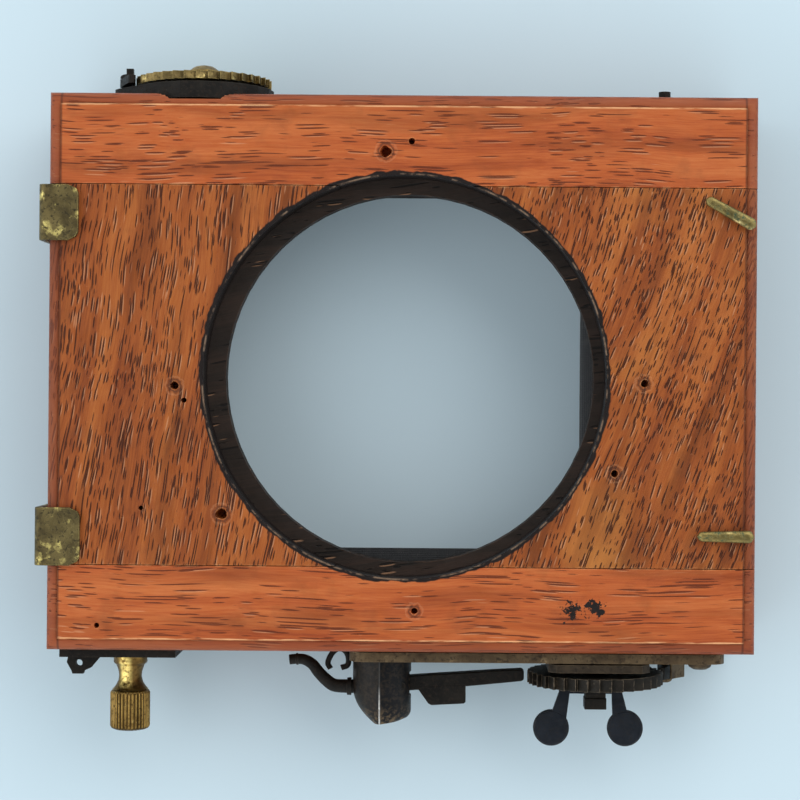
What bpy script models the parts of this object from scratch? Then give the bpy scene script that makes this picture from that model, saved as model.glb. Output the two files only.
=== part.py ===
"""Roller-blind shutter of a wooden plate camera: a shallow mahogany box with a round opening, a cloth
blind on two rollers inside it, a winder with its key and the pneumatic release on the bottom side, and
the blind's tension ratchet on the top side.

Metres, +Z up. The shutter lies on its rear face, +X is along its longer side and +Y towards the tension
ratchet. The origin is the bottom centre of the whole object's box. Positions below are measured from
the centre of the wooden box, and the empty named shutter_origin carries them all.
"""

import math

import bmesh
import bpy

MM = 0.001

# Clearances
GAP = 0.3 * MM  # between pieces that rest on each other
FIT = 0.15 * MM  # round a shaft, a screw or a bush

# Wooden box
BOX_WIDTH = 133.4 * MM
BOX_HEIGHT = 105.0 * MM
BOX_DEPTH = 30.0 * MM
WALL = 6.0 * MM
REAR_BOARD = 5.0 * MM
LENS_PANEL = 6.7 * MM
INNER_BOARD = 3.7 * MM
TOP_RAIL = 17.3 * MM  # cleats across the ends of the lens panel's grain
BOTTOM_RAIL = 16.2 * MM

# Openings for the lens, each as centre x, y and radius
PANEL_HOLE = (0.5 * MM, -0.6 * MM, 37.9 * MM)
INNER_HOLE = (1.3 * MM, -0.9 * MM, 35.2 * MM)
REAR_HOLE = (0.5 * MM, -0.6 * MM, 38.0 * MM)

# Screw holes of lens flanges round the opening: angle, distance outside the opening's edge, radius
FLANGE_HOLE_DEPTH = 4.5 * MM
TOP_RAIL_HOLES = ((95.3, 4.6 * MM, 1.05 * MM),)
LEFT_HOLES = ((182.7, 5.3 * MM, 0.75 * MM), (217.2, 5.1 * MM, 1.05 * MM))
RIGHT_HOLES = ((335.6, 5.5 * MM, 0.7 * MM), (358.7, 7.0 * MM, 0.7 * MM))
BOTTOM_RAIL_HOLES = ((272.7, 6.1 * MM, 0.6 * MM),)

# Blind and its rollers
ROLLER_RADIUS = 3.0 * MM
WRAP_RADIUS = 3.6 * MM
BLIND = 0.4 * MM
BLIND_CLEARANCE = 0.4 * MM
BLIND_TOP_EDGE = 34.0 * MM
BLIND_BOTTOM_EDGE = 33.6 * MM
BLIND_SIDE_CLEARANCE = 2.4 * MM
HEM_WIDTH = 1.3 * MM
ROLLER_END = 0.6 * MM
WINDER_OUTSIDE_HOLE = 1.2 * MM  # how far the winding roller stands outside the inner opening
SPRING_OUTSIDE_HOLE = 5.5 * MM
PIVOT_RADIUS = 1.6 * MM
BUSH_RADIUS = 3.0 * MM
SPRING_BORE = 2.1 * MM
SPINDLE_RADIUS = 0.9 * MM
SPRING_WIRE = 0.22 * MM
SPRING_TURNS = 10

# Ratchet wheels
TEETH = 36
TOOTH_DEPTH = 0.9 * MM
WINDER_WHEEL_RADIUS = 13.3 * MM
WINDER_WHEEL = 2.4 * MM
TENSION_WHEEL_RADIUS = 13.2 * MM
TENSION_WHEEL = 1.5 * MM

# Bottom side: winder, release and knob. Distances stand out from the box.
BASE_PLATE = 1.8 * MM
BASE_PLATE_REAR = 11.0 * MM
BASE_PLATE_FRONT = 12.0 * MM
BASE_PLATE_LEFT_OF_CUP = 0.2 * MM
BASE_PLATE_RIGHT = 5.1 * MM  # from the box's right side
BRIDGE = 1.5 * MM
BRIDGE_HALF_WIDTH = 9.6 * MM
WHEEL_CLEARANCE = 1.1 * MM
KEY_SHEET = 1.4 * MM
KEY_BAR = 1.6 * MM
KEY_BLOCK = 4.0 * MM
KEY_BLOCK_LENGTH = 4.85 * MM
KEY_DISC_RADIUS = 3.53 * MM
KEY_DISC_REACH = 8.75 * MM  # from the wheel's outer face to the disc's centre
KEY_LEFT_DISC = -8.5 * MM
KEY_RIGHT_DISC = 5.9 * MM
CUP_X = -3.9 * MM
CUP_RADIUS = 5.7 * MM
CUP_WALL = 1.0 * MM
CUP_HEIGHT = 13.0 * MM
LEVER_PIVOT_OFFSET = 4.1 * MM  # from the cup's axis
LEVER_PIVOT_HEIGHT = 7.7 * MM
LEVER_WIDTH = 3.0 * MM
LEVER_PIN_RADIUS = 0.6 * MM
LEVER_FALL = 0.0787  # slope of the lever towards the box
KNOB_FROM_LEFT = 13.8 * MM
KNOB_PLATE = 1.4 * MM
KNOB_PLATE_LEFT = 11.8 * MM
KNOB_PLATE_RIGHT = 10.2 * MM
KNOB_SCREW_RADIUS = 1.0 * MM
KNOB_COLLAR_RADIUS = 3.25 * MM
KNOB_NECK_RADIUS = 2.2 * MM
KNOB_HEAD_RADIUS = 3.85 * MM
KNOB_RIBS = 28

# Top side: tension ratchet
TENSION_PLATE = 3.1 * MM
TENSION_RECESS = 1.0 * MM
TENSION_PLATE_RADIUS = 13.6 * MM
TENSION_LOBE_RADIUS = 3.6 * MM
TENSION_LOBE_OFFSET = 13.7 * MM
HUB_RADIUS = 3.45 * MM
HUB_HEIGHT = 2.6 * MM
STOP_PIN_RADIUS = 1.15 * MM
STOP_PIN_FROM_RIGHT = 16.7 * MM
STOP_PIN_HEIGHT = 2.3 * MM

# Fastenings of the lens panel
CLIP_SHEET = 0.9 * MM
CLIP_LENGTH = 10.4 * MM
CLIP_REACH = 7.2 * MM
CLIP_LEG = 13.0 * MM
CLIP_CORNER = 2.0 * MM
CLIP_TO_JOINT = 5.4 * MM  # from a clip's middle to the nearer rail
HOOK_FROM_EDGE = 1.8 * MM
HOOK_SHANK_RADIUS = 0.9 * MM
HOOK_ARM = 9.4 * MM
HOOK_WIDTH = 2.5 * MM
HOOK_SHEET = 1.6 * MM
HOOK_DEPTH = 15.0 * MM
UPPER_HOOK_ANGLE = 151.0
LOWER_HOOK_ANGLE = 180.0
UPPER_HOOK_BELOW_JOINT = 6.7 * MM
LOWER_HOOK_ABOVE_JOINT = 6.2 * MM

# Screws, as head radius, head height, shank radius and shank length
CLIP_SCREW = (1.5 * MM, 0.7 * MM, 0.8 * MM, 4.5 * MM)
PLATE_SCREW = (2.4 * MM, 1.6 * MM, 0.9 * MM, 5.0 * MM)
SMALL_SCREW = (1.5 * MM, 0.8 * MM, 0.7 * MM, 4.5 * MM)

# Places worked out from the sizes above
HALF_WIDTH = BOX_WIDTH / 2
HALF_HEIGHT = BOX_HEIGHT / 2
PANEL_REAR = BOX_DEPTH - LENS_PANEL
WALL_FRONT = PANEL_REAR - GAP
WALL_REAR = REAR_BOARD + GAP
INNER_FRONT = WALL_FRONT - GAP
INNER_REAR = INNER_FRONT - INNER_BOARD
BLIND_FRONT = INNER_REAR - BLIND_CLEARANCE
BLIND_REAR = BLIND_FRONT - BLIND
AXIS_Z = BLIND_FRONT - WRAP_RADIUS
INSIDE_HEIGHT = BOX_HEIGHT - 2 * WALL
WINDER_X = INNER_HOLE[0] + INNER_HOLE[2] + WINDER_OUTSIDE_HOLE
SPRING_X = INNER_HOLE[0] - INNER_HOLE[2] - SPRING_OUTSIDE_HOLE
KNOB_X = -HALF_WIDTH + KNOB_FROM_LEFT
TOP_JOINT = HALF_HEIGHT - TOP_RAIL
BOTTOM_JOINT = -HALF_HEIGHT + BOTTOM_RAIL
PLATE_OUT = GAP + BASE_PLATE
BRIDGE_OUT = PLATE_OUT + GAP + BRIDGE
WHEEL_IN = BRIDGE_OUT + WHEEL_CLEARANCE
WHEEL_OUT = WHEEL_IN + WINDER_WHEEL
KNOB_PLATE_OUT = GAP + KNOB_PLATE
TENSION_PLATE_OUT = TENSION_PLATE - TENSION_RECESS + GAP
TENSION_WHEEL_IN = TENSION_PLATE_OUT + 2 * GAP
TENSION_WHEEL_OUT = TENSION_WHEEL_IN + TENSION_WHEEL
HUB_IN = TENSION_WHEEL_OUT + GAP
CLIP_FACE = BOX_DEPTH + GAP + CLIP_SHEET
CLIP_SIDE = HALF_WIDTH + GAP + CLIP_SHEET
HOOK_X = HALF_WIDTH - HOOK_FROM_EDGE
UPPER_HOOK_Y = TOP_JOINT - UPPER_HOOK_BELOW_JOINT
LOWER_HOOK_Y = BOTTOM_JOINT + LOWER_HOOK_ABOVE_JOINT
UPPER_CLIP_Y = TOP_JOINT - CLIP_TO_JOINT
LOWER_CLIP_Y = BOTTOM_JOINT + CLIP_TO_JOINT

PARTS = "roller_blind_shutter"
CUTTERS = "cutters"


# Building blocks


def material(name, colour, roughness, metallic):
    made = bpy.data.materials.new(name)
    made.use_nodes = True
    shader = made.node_tree.nodes["Principled BSDF"]
    shader.inputs["Base Color"].default_value = (*colour, 1.0)
    shader.inputs["Roughness"].default_value = roughness
    shader.inputs["Metallic"].default_value = metallic
    made.diffuse_color = (*colour, 1.0)
    return made


def empty(name, location, rotation=(0, 0, 0), parent=None):
    made = bpy.data.objects.new(name, None)
    made.empty_display_size = 5 * MM
    made.location = location
    made.rotation_euler = [math.radians(angle) for angle in rotation]
    made.parent = parent
    bpy.data.collections[PARTS].objects.link(made)
    return made


def add(name, data, finish, parent, location=(0, 0, 0), rotation=(0, 0, 0)):
    """An object of the shutter, or a cutter where it has no finish."""
    made = bpy.data.objects.new(name, data)
    made.location = location
    made.rotation_euler = [math.radians(angle) for angle in rotation]
    made.parent = parent
    if finish is None:
        made.hide_render = True
        made.display_type = "WIRE"
        bpy.data.collections[CUTTERS].objects.link(made)
    else:
        data.materials.append(finish)
        bpy.data.collections[PARTS].objects.link(made)
    return made


def smooth(mesh):
    mesh.shade_smooth()
    mesh.set_sharp_from_angle(angle=math.radians(35))


def box(name, low, high, finish, parent):
    shape = bmesh.new()
    bmesh.ops.create_cube(shape, size=1)
    for vertex in shape.verts:
        vertex.co = [
            near if side < 0 else far for near, far, side in zip(low, high, vertex.co)
        ]
    mesh = bpy.data.meshes.new(name)
    shape.to_mesh(mesh)
    shape.free()
    return add(name, mesh, finish, parent)


def cylinder(name, radius, low, high, finish, parent, centre=(0, 0), segments=24, rotation=(0, 0, 0)):
    """A cylinder along its own Z, from low to high."""
    shape = bmesh.new()
    bmesh.ops.create_cone(
        shape, cap_ends=True, segments=segments, radius1=radius, radius2=radius, depth=high - low
    )
    bmesh.ops.translate(shape, verts=shape.verts, vec=(0, 0, (low + high) / 2))
    mesh = bpy.data.meshes.new(name)
    shape.to_mesh(mesh)
    shape.free()
    smooth(mesh)
    place = centre if len(centre) == 3 else (*centre, 0)
    return add(name, mesh, finish, parent, place, rotation)


def turned(name, profile, finish, parent, location=(0, 0, 0), rotation=(0, 0, 0), segments=32, ring=False):
    """A solid of revolution about its own Z. The profile runs down its outer side, as (radius, height)."""
    mesh = bpy.data.meshes.new(name)
    last = len(profile)
    edges = [(i, i + 1) for i in range(last - 1)]
    if ring:
        edges.append((last - 1, 0))
    mesh.from_pydata([(radius, 0, height) for radius, height in profile], edges, [])
    made = add(name, mesh, finish, parent, location, rotation)
    turn = made.modifiers.new("turn", "SCREW")
    turn.axis = "Z"
    turn.angle = math.tau
    turn.steps = segments
    turn.render_steps = segments
    turn.use_merge_vertices = True
    turn.merge_threshold = 0.00001
    turn.use_smooth_shade = False
    return made


def sheet(name, outline, low, high, finish, parent, location=(0, 0, 0), rotation=(0, 0, 0), holes=()):
    """A flat piece: an outline in its own XY plane, with any holes, from low to high along Z."""
    curve = bpy.data.curves.new(name, "CURVE")
    curve.dimensions = "2D"
    curve.fill_mode = "BOTH"
    curve.extrude = (high - low) / 2
    for loop in (outline, *holes):
        spline = curve.splines.new("POLY")
        spline.points.add(len(loop) - 1)
        for point, (x, y) in zip(spline.points, loop):
            point.co = (x, y, 0, 1)
        spline.use_cyclic_u = True
    drawn = bpy.data.objects.new(name + "_outline", curve)
    bpy.data.collections[PARTS].objects.link(drawn)
    mesh = solid_of(drawn)
    mesh.name = name
    for vertex in mesh.vertices:
        vertex.co.z += (high + low) / 2
    return add(name, mesh, finish, parent, location, rotation)


def solid_of(drawn):
    """The closed mesh of a curve object, which it removes."""
    graph = bpy.context.evaluated_depsgraph_get()
    mesh = bpy.data.meshes.new_from_object(drawn.evaluated_get(graph))
    curve = drawn.data
    bpy.data.objects.remove(drawn)
    bpy.data.curves.remove(curve)
    shape = bmesh.new()
    shape.from_mesh(mesh)
    bmesh.ops.remove_doubles(shape, verts=shape.verts, dist=0.000001)
    bmesh.ops.recalc_face_normals(shape, faces=shape.faces)
    shape.to_mesh(mesh)
    shape.free()
    mesh.materials.clear()
    return mesh


def wire(name, points, radius, finish, parent, taper=None, sides=2, location=(0, 0, 0)):
    """A round wire or tube through the points. A taper gives each point's share of the radius."""
    curve = bpy.data.curves.new(name, "CURVE")
    curve.dimensions = "3D"
    curve.bevel_depth = radius
    curve.bevel_resolution = sides
    curve.use_fill_caps = True
    spline = curve.splines.new("POLY")
    spline.points.add(len(points) - 1)
    for index, (point, place) in enumerate(zip(spline.points, points)):
        point.co = (*place, 1)
        if taper:
            point.radius = taper[index]
    return add(name, curve, finish, parent, location)


def cut(target, *cutters):
    for cutter in cutters:
        step = target.modifiers.new("cut_" + cutter.name, "BOOLEAN")
        step.operation = "DIFFERENCE"
        step.solver = "EXACT"
        step.object = cutter


def join(target, *others):
    for other in others:
        step = target.modifiers.new("join_" + other.name, "BOOLEAN")
        step.operation = "UNION"
        step.solver = "EXACT"
        step.object = other


# Outlines


def arc(centre, radius, start, end, steps):
    """Points along an arc, both ends among them. Angles in degrees."""
    angles = [math.radians(start + (end - start) * i / steps) for i in range(steps + 1)]
    return [(centre[0] + radius * math.cos(a), centre[1] + radius * math.sin(a)) for a in angles]


def circle(centre, radius, segments):
    return arc(centre, radius, 0, 360 - 360 / segments, segments - 1)


def bar(length, start_radius, end_radius, steps=8):
    """A bar with round ends, from the origin along +X."""
    lean = math.degrees(math.acos((start_radius - end_radius) / length))
    start = arc((0, 0), start_radius, lean, 360 - lean, 2 * steps)
    end = arc((length, 0), end_radius, -lean, lean, steps)
    return start + end


def bar_between(start, end, start_radius, end_radius, steps=8):
    """The same bar from one point to another."""
    run = end[0] - start[0]
    rise = end[1] - start[1]
    length = math.hypot(run, rise)
    along = (run / length, rise / length)
    return [
        (start[0] + x * along[0] - y * along[1], start[1] + x * along[1] + y * along[0])
        for x, y in bar(length, start_radius, end_radius, steps)
    ]


def ratchet(radius, depth, teeth):
    """Saw teeth: each rises along a slope and falls along a radius."""
    outline = []
    for tooth in range(teeth):
        angle = math.tau * tooth / teeth
        for reach in (radius, radius - depth):
            outline.append((reach * math.cos(angle), reach * math.sin(angle)))
            angle += math.radians(1)
    return outline


def ribbed(radius, depth, ribs):
    """A round outline with fine ribs."""
    outline = []
    for step in range(2 * ribs):
        angle = math.pi * step / ribs
        reach = radius - depth * (step % 2)
        outline.append((reach * math.cos(angle), reach * math.sin(angle)))
    return outline


def on_ring(centre, angle, distance):
    around = math.radians(angle)
    return (centre[0] + distance * math.cos(around), centre[1] + distance * math.sin(around))


# Wooden box


def wood_bore(name, radius, depth, centre, side):
    """A cutter for a hole that goes into the wood from one of its sides."""
    return cylinder(name, radius, -depth, 2 * GAP, None, side, centre, 20)


def lens_cutter(name, hole, low, high, origin):
    x, y, radius = hole
    return cylinder(name, radius, low, high, None, origin, (x, y), 64)


def wooden_box(wood, origin, bottom, top):
    rear = box(
        "rear_board", (-HALF_WIDTH, -HALF_HEIGHT, 0), (HALF_WIDTH, HALF_HEIGHT, REAR_BOARD), wood["dark"], origin
    )
    cut(rear, lens_cutter("rear_hole", REAR_HOLE, -GAP, REAR_BOARD + GAP, origin))

    inside_x = HALF_WIDTH - WALL
    inside_y = HALF_HEIGHT - WALL
    top_wall = box(
        "top_wall", (-HALF_WIDTH, inside_y, WALL_REAR), (HALF_WIDTH, HALF_HEIGHT, WALL_FRONT), wood["rail"], origin
    )
    bottom_wall = box(
        "bottom_wall",
        (-HALF_WIDTH, -HALF_HEIGHT, WALL_REAR),
        (HALF_WIDTH, -inside_y, WALL_FRONT),
        wood["rail"],
        origin,
    )
    left_wall = box(
        "left_wall",
        (-HALF_WIDTH, -inside_y + GAP, WALL_REAR),
        (-inside_x, inside_y - GAP, WALL_FRONT),
        wood["panel"],
        origin,
    )
    right_wall = box(
        "right_wall",
        (inside_x, -inside_y + GAP, WALL_REAR),
        (HALF_WIDTH, inside_y - GAP, WALL_FRONT),
        wood["panel"],
        origin,
    )
    inner = box(
        "inner_front_board",
        (-inside_x + GAP, -inside_y + GAP, INNER_REAR),
        (inside_x - GAP, inside_y - GAP, INNER_FRONT),
        wood["dark"],
        origin,
    )
    cut(inner, lens_cutter("inner_hole", INNER_HOLE, INNER_REAR - GAP, INNER_FRONT + GAP, origin))

    through = WALL + GAP
    bush_bore = BUSH_RADIUS + FIT
    cut(
        bottom_wall,
        wood_bore("winder_bush_bore", bush_bore, through, (WINDER_X, 0), bottom),
        wood_bore("roller_bush_bore", bush_bore, through, (SPRING_X, 0), bottom),
        wood_bore("knob_bore", KNOB_SCREW_RADIUS + FIT, through, (KNOB_X, 0), bottom),
    )
    cut(
        top_wall,
        wood_bore("winder_top_bore", bush_bore, through, (WINDER_X, 0), top),
        wood_bore("tension_bush_bore", bush_bore, through, (SPRING_X, 0), top),
        wood_bore("stop_pin_bore", STOP_PIN_RADIUS + FIT, 3.3 * MM, (stop_pin_x(), -4 * MM), top),
    )
    return {"rear": rear, "top": top_wall, "bottom": bottom_wall, "left": left_wall, "right": right_wall}


def stop_pin_x():
    return HALF_WIDTH - STOP_PIN_FROM_RIGHT


def lens_panel(wood, origin):
    """Two cleats across the grain of a centre board. The opening is taller than that board, so it
    leaves it in a left and a right piece."""
    half = GAP / 2
    low_y = BOTTOM_JOINT + half
    high_y = TOP_JOINT - half
    middle = PANEL_HOLE[0]
    left = box(
        "panel_centre_left", (-HALF_WIDTH, low_y, PANEL_REAR), (middle, high_y, BOX_DEPTH), wood["panel"], origin
    )
    right = box(
        "panel_centre_right", (middle, low_y, PANEL_REAR), (HALF_WIDTH, high_y, BOX_DEPTH), wood["panel"], origin
    )
    top_rail = box(
        "panel_top_rail",
        (-HALF_WIDTH, TOP_JOINT + half, PANEL_REAR),
        (HALF_WIDTH, HALF_HEIGHT, BOX_DEPTH),
        wood["rail"],
        origin,
    )
    bottom_rail = box(
        "panel_bottom_rail",
        (-HALF_WIDTH, -HALF_HEIGHT, PANEL_REAR),
        (HALF_WIDTH, BOTTOM_JOINT - half, BOX_DEPTH),
        wood["rail"],
        origin,
    )
    boards = (
        (left, LEFT_HOLES),
        (right, RIGHT_HOLES),
        (top_rail, TOP_RAIL_HOLES),
        (bottom_rail, BOTTOM_RAIL_HOLES),
    )
    opening = lens_cutter("panel_hole", PANEL_HOLE, PANEL_REAR - GAP, BOX_DEPTH + GAP, origin)
    for board, holes in boards:
        cut(board, opening)
        for number, (angle, outside, radius) in enumerate(holes, 1):
            place = on_ring(PANEL_HOLE, angle, PANEL_HOLE[2] + outside)
            name = f"{board.name}_screw_hole_{number}"
            low = BOX_DEPTH - FLANGE_HOLE_DEPTH
            cut(board, cylinder(name, radius, low, BOX_DEPTH + GAP, None, origin, place, 12))
    notch = HOOK_SHANK_RADIUS + 2 * FIT
    for name, y in (("upper", UPPER_HOOK_Y), ("lower", LOWER_HOOK_Y)):
        slot = bar_between((HOOK_X, y), (HALF_WIDTH + notch, y), notch, notch)
        cut(right, sheet(name + "_hook_notch", slot, PANEL_REAR - GAP, BOX_DEPTH + GAP, None, origin))
    return top_rail


# Blind and rollers


def blind(cloth, metal, origin):
    """The blind lies flat behind the inner board, between the places where it leaves the rollers."""
    setback = math.sqrt(WRAP_RADIUS**2 - (WRAP_RADIUS - BLIND - GAP) ** 2)
    left = SPRING_X + setback
    right = WINDER_X - setback
    side = HALF_HEIGHT - WALL - BLIND_SIDE_CLEARANCE
    box("upper_blind_tape", (left, BLIND_TOP_EDGE, BLIND_REAR), (right, side, BLIND_FRONT), cloth, origin)
    box("lower_blind_tape", (left, -side, BLIND_REAR), (right, -BLIND_BOTTOM_EDGE, BLIND_FRONT), cloth, origin)

    low = -BLIND_BOTTOM_EDGE + GAP
    high = BLIND_TOP_EDGE - GAP
    start = empty("curtain_origin", (left, 0, AXIS_Z), parent=origin)
    rear = BLIND_REAR - AXIS_Z
    front = BLIND_FRONT - AXIS_Z
    curtain = 2 * GAP
    box("blind_curtain", (0, low, rear), (curtain, high, front), cloth, start)
    hem = curtain + GAP
    box("curtain_hem", (hem, low, rear), (hem + HEM_WIDTH, high, front), metal, start)


def blind_wrap(name, cloth, axis, low, high):
    outer = WRAP_RADIUS
    inner = ROLLER_RADIUS + FIT
    turned(name, [(outer, high), (outer, low), (inner, low), (inner, high)], cloth, axis, ring=True)


def bush(name, metal, side, centre, low, high):
    inner = PIVOT_RADIUS + FIT
    ring = [(BUSH_RADIUS, high), (BUSH_RADIUS, low), (inner, low), (inner, high)]
    turned(name, ring, metal, side, (*centre, 0), segments=24, ring=True)


def winding_roller(wood, cloth, metal, bottom, top, axis):
    """The roller's own Z runs out of the bottom side, and its far pivot turns in the top wall."""
    near = -WALL - ROLLER_END
    far = -WALL - INSIDE_HEIGHT + ROLLER_END
    end = far - ROLLER_END - WALL / 2
    outside = WHEEL_OUT - FIT
    profile = [
        (0, outside),
        (PIVOT_RADIUS, outside),
        (PIVOT_RADIUS, near),
        (ROLLER_RADIUS, near),
        (ROLLER_RADIUS, far),
        (PIVOT_RADIUS, far),
        (PIVOT_RADIUS, end),
        (0, end),
    ]
    turned("winding_roller", profile, wood["dark"], axis, segments=24)
    blind_wrap("winder_blind_wrap", cloth, axis, far + 2 * ROLLER_END, near - 2 * ROLLER_END)
    bush("winder_bottom_bush", metal, bottom, (WINDER_X, 0), -WALL, -FIT)
    bush("winder_top_bush", metal, top, (WINDER_X, 0), -WALL, -FIT)


def spring_roller(wood, cloth, metal, steel, bottom, top, axis):
    """The roller's own Z runs out of the top side. Its spring winds round a spindle that the tension
    wheel turns."""
    near = -WALL - ROLLER_END
    far = -WALL - INSIDE_HEIGHT + ROLLER_END
    bore_end = far + 2.4 * MM
    profile = [
        (0, bore_end),
        (SPRING_BORE, bore_end),
        (SPRING_BORE, near),
        (ROLLER_RADIUS, near),
        (ROLLER_RADIUS, far),
        (PIVOT_RADIUS, far),
        (PIVOT_RADIUS, far - ROLLER_END - WALL / 2),
        (0, far - ROLLER_END - WALL / 2),
    ]
    turned("spring_roller", profile, wood["dark"], axis, segments=24)
    blind_wrap("spring_blind_wrap", cloth, axis, far + 2 * ROLLER_END, near - 2 * ROLLER_END)
    bush("roller_bottom_bush", metal, bottom, (SPRING_X, 0), -WALL, -FIT)
    bush("tension_bush", metal, top, (SPRING_X, 0), -WALL, -TENSION_RECESS - FIT)

    tip = bore_end + 2 * ROLLER_END
    shoulder = -WALL - FIT
    spindle = [
        (0, TENSION_WHEEL_OUT),
        (PIVOT_RADIUS, TENSION_WHEEL_OUT),
        (PIVOT_RADIUS, shoulder),
        (SPINDLE_RADIUS, shoulder),
        (SPINDLE_RADIUS, tip),
        (0, tip),
    ]
    turned("tension_spindle", spindle, steel, axis, segments=20)

    coil_radius = (SPINDLE_RADIUS + SPRING_BORE) / 2
    start = near - 4 * MM
    length = start - tip - 4 * MM
    points = []
    for step in range(9 * SPRING_TURNS + 1):
        turn = step / 9
        angle = math.tau * turn
        height = start - length * turn / SPRING_TURNS
        points.append((coil_radius * math.cos(angle), coil_radius * math.sin(angle), height))
    wire("roller_spring", points, SPRING_WIRE, steel, axis, sides=0)


# Screws


def screw(name, size, metal, parent, location, rotation=(0, 0, 0)):
    """A round-headed screw. Its own Z leaves through the head, and Z = 0 is the head's underside."""
    head, height, shank, length = size
    profile = [
        (0, height),
        (0.55 * head, 0.9 * height),
        (0.88 * head, 0.6 * height),
        (head, 0.2 * height),
        (head, 0),
        (shank, 0),
        (shank, -length),
        (0, -length),
    ]
    return turned(name, profile, metal, parent, location, rotation, segments=14)


def screw_bore(name, size, parent, location, rotation=(0, 0, 0)):
    """The cutter for that screw's hole."""
    length = size[3] + 2 * GAP
    return cylinder(name, size[2] + FIT, -length, GAP / 2, None, parent, location, 14, rotation)


# Bottom side


def winder_plates(brass, bottom, walls):
    left = CUP_X - CUP_RADIUS - BASE_PLATE_LEFT_OF_CUP
    right = HALF_WIDTH - BASE_PLATE_RIGHT
    corner = 3 * MM
    rear = -BASE_PLATE_REAR
    front = BASE_PLATE_FRONT
    outline = (
        arc((left + corner, rear + corner), corner, 180, 270, 4)
        + arc((right - corner, rear + corner), corner, 270, 360, 4)
        + arc((right - corner, front - corner), corner, 0, 90, 4)
        + arc((left + corner, front - corner), corner, 90, 180, 4)
    )
    spindle_hole = PIVOT_RADIUS + 2 * FIT
    plate = sheet(
        "winder_base_plate",
        outline,
        GAP,
        PLATE_OUT,
        brass["dull"],
        bottom,
        holes=[circle((WINDER_X, 0), spindle_hole, 20)],
    )
    screws = (
        ("base_plate_screw_right", (right - 4.1 * MM, 5 * MM)),
        ("base_plate_screw_left", (CUP_X + CUP_RADIUS + 4 * MM, -8 * MM)),
    )
    for name, (x, y) in screws:
        place = (x, y, PLATE_OUT + GAP)
        screw(name, PLATE_SCREW, brass["dull"], bottom, place)
        bore = screw_bore(name + "_bore", PLATE_SCREW, bottom, place)
        cut(plate, bore)
        cut(walls["bottom"], bore)

    half = BRIDGE_HALF_WIDTH
    deep = BASE_PLATE_FRONT
    bridge = [
        (WINDER_X - half, -0.6 * deep),
        (WINDER_X + half, -0.6 * deep),
        (WINDER_X + half, deep - 1.5 * MM),
        (WINDER_X + half - 1.5 * MM, deep),
        (WINDER_X - half + 1.5 * MM, deep),
        (WINDER_X - half, deep - 1.5 * MM),
    ]
    sheet(
        "winder_bridge",
        bridge,
        PLATE_OUT + GAP,
        BRIDGE_OUT,
        brass["dull"],
        bottom,
        holes=[circle((WINDER_X, 0), spindle_hole, 20)],
    )
    return plate


def winder_wheel_and_key(black, axis):
    bore = circle((0, 0), PIVOT_RADIUS + FIT, 20)
    wheel = ratchet(WINDER_WHEEL_RADIUS, TOOTH_DEPTH, TEETH)
    sheet("winder_ratchet_wheel", wheel, WHEEL_IN, WHEEL_OUT, black, axis, holes=[bore])

    block = KEY_BLOCK / 2
    base = WHEEL_OUT + GAP
    bar_out = base + FIT + KEY_BAR
    body = box("winding_key_block", (-block, -block, base), (block, block, base + KEY_BLOCK_LENGTH), black, axis)
    slot = KEY_SHEET / 2 + FIT
    cut(
        body,
        box("key_slot", (-2 * block, -slot, base - GAP), (2 * block, slot, bar_out + FIT), None, axis),
    )

    disc_height = WHEEL_OUT + KEY_DISC_REACH
    bar_in = base + FIT
    middle = (bar_in + bar_out) / 2
    stand = (90, 0, 0)
    key_bar = [
        (KEY_LEFT_DISC + 1.6 * MM, bar_in),
        (KEY_RIGHT_DISC - 0.7 * MM, bar_in),
        (KEY_RIGHT_DISC - 0.7 * MM, bar_out),
        (KEY_LEFT_DISC + 1.6 * MM, bar_out),
    ]
    thick = KEY_SHEET / 2
    key = sheet("winding_key", key_bar, -thick, thick, black, axis, rotation=stand)
    arms = (
        ("left", KEY_LEFT_DISC, KEY_LEFT_DISC + 2.7 * MM, KEY_LEFT_DISC + 1.2 * MM),
        ("right", KEY_RIGHT_DISC, KEY_RIGHT_DISC - 1.7 * MM, KEY_RIGHT_DISC - 0.8 * MM),
    )
    for name, disc_x, stem_x, foot_x in arms:
        stem = bar_between(
            (stem_x, middle), (foot_x, disc_height - 1.5 * MM), 0.95 * MM, 1.6 * MM, 4
        )
        disc = circle((disc_x, disc_height), KEY_DISC_RADIUS, 28)
        inset = 0.03 * MM
        join(
            key,
            sheet(f"key_{name}_stem", stem, -thick + inset, thick - inset, None, axis, rotation=stand),
            sheet(
                f"key_{name}_disc", disc, -thick + 2 * inset, thick - 2 * inset, None, axis, rotation=stand
            ),
        )


def click(name, finish, side, pivot, nose, low, high, screw_finish, plate=None):
    """A pawl on its screw. Its origin is the pivot."""
    axis = empty(name + "_axis", (*pivot, 0), parent=side)
    reach = (nose[0] - pivot[0], nose[1] - pivot[1])
    outline = bar_between((0, 0), reach, 1.5 * MM, 0.7 * MM, 5)
    hole = circle((0, 0), SMALL_SCREW[2] + FIT, 14)
    pawl = sheet(name, outline, low, high, finish, axis, holes=[hole])
    seat = high + GAP
    length = seat - GAP - 2 * GAP
    size = (SMALL_SCREW[0], SMALL_SCREW[1], SMALL_SCREW[2], length)
    place = (*pivot, seat)
    screw(name + "_screw", size, screw_finish, side, place)
    if plate:
        cut(plate, screw_bore(name + "_screw_bore", size, side, place))
    return pawl, axis


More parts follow.
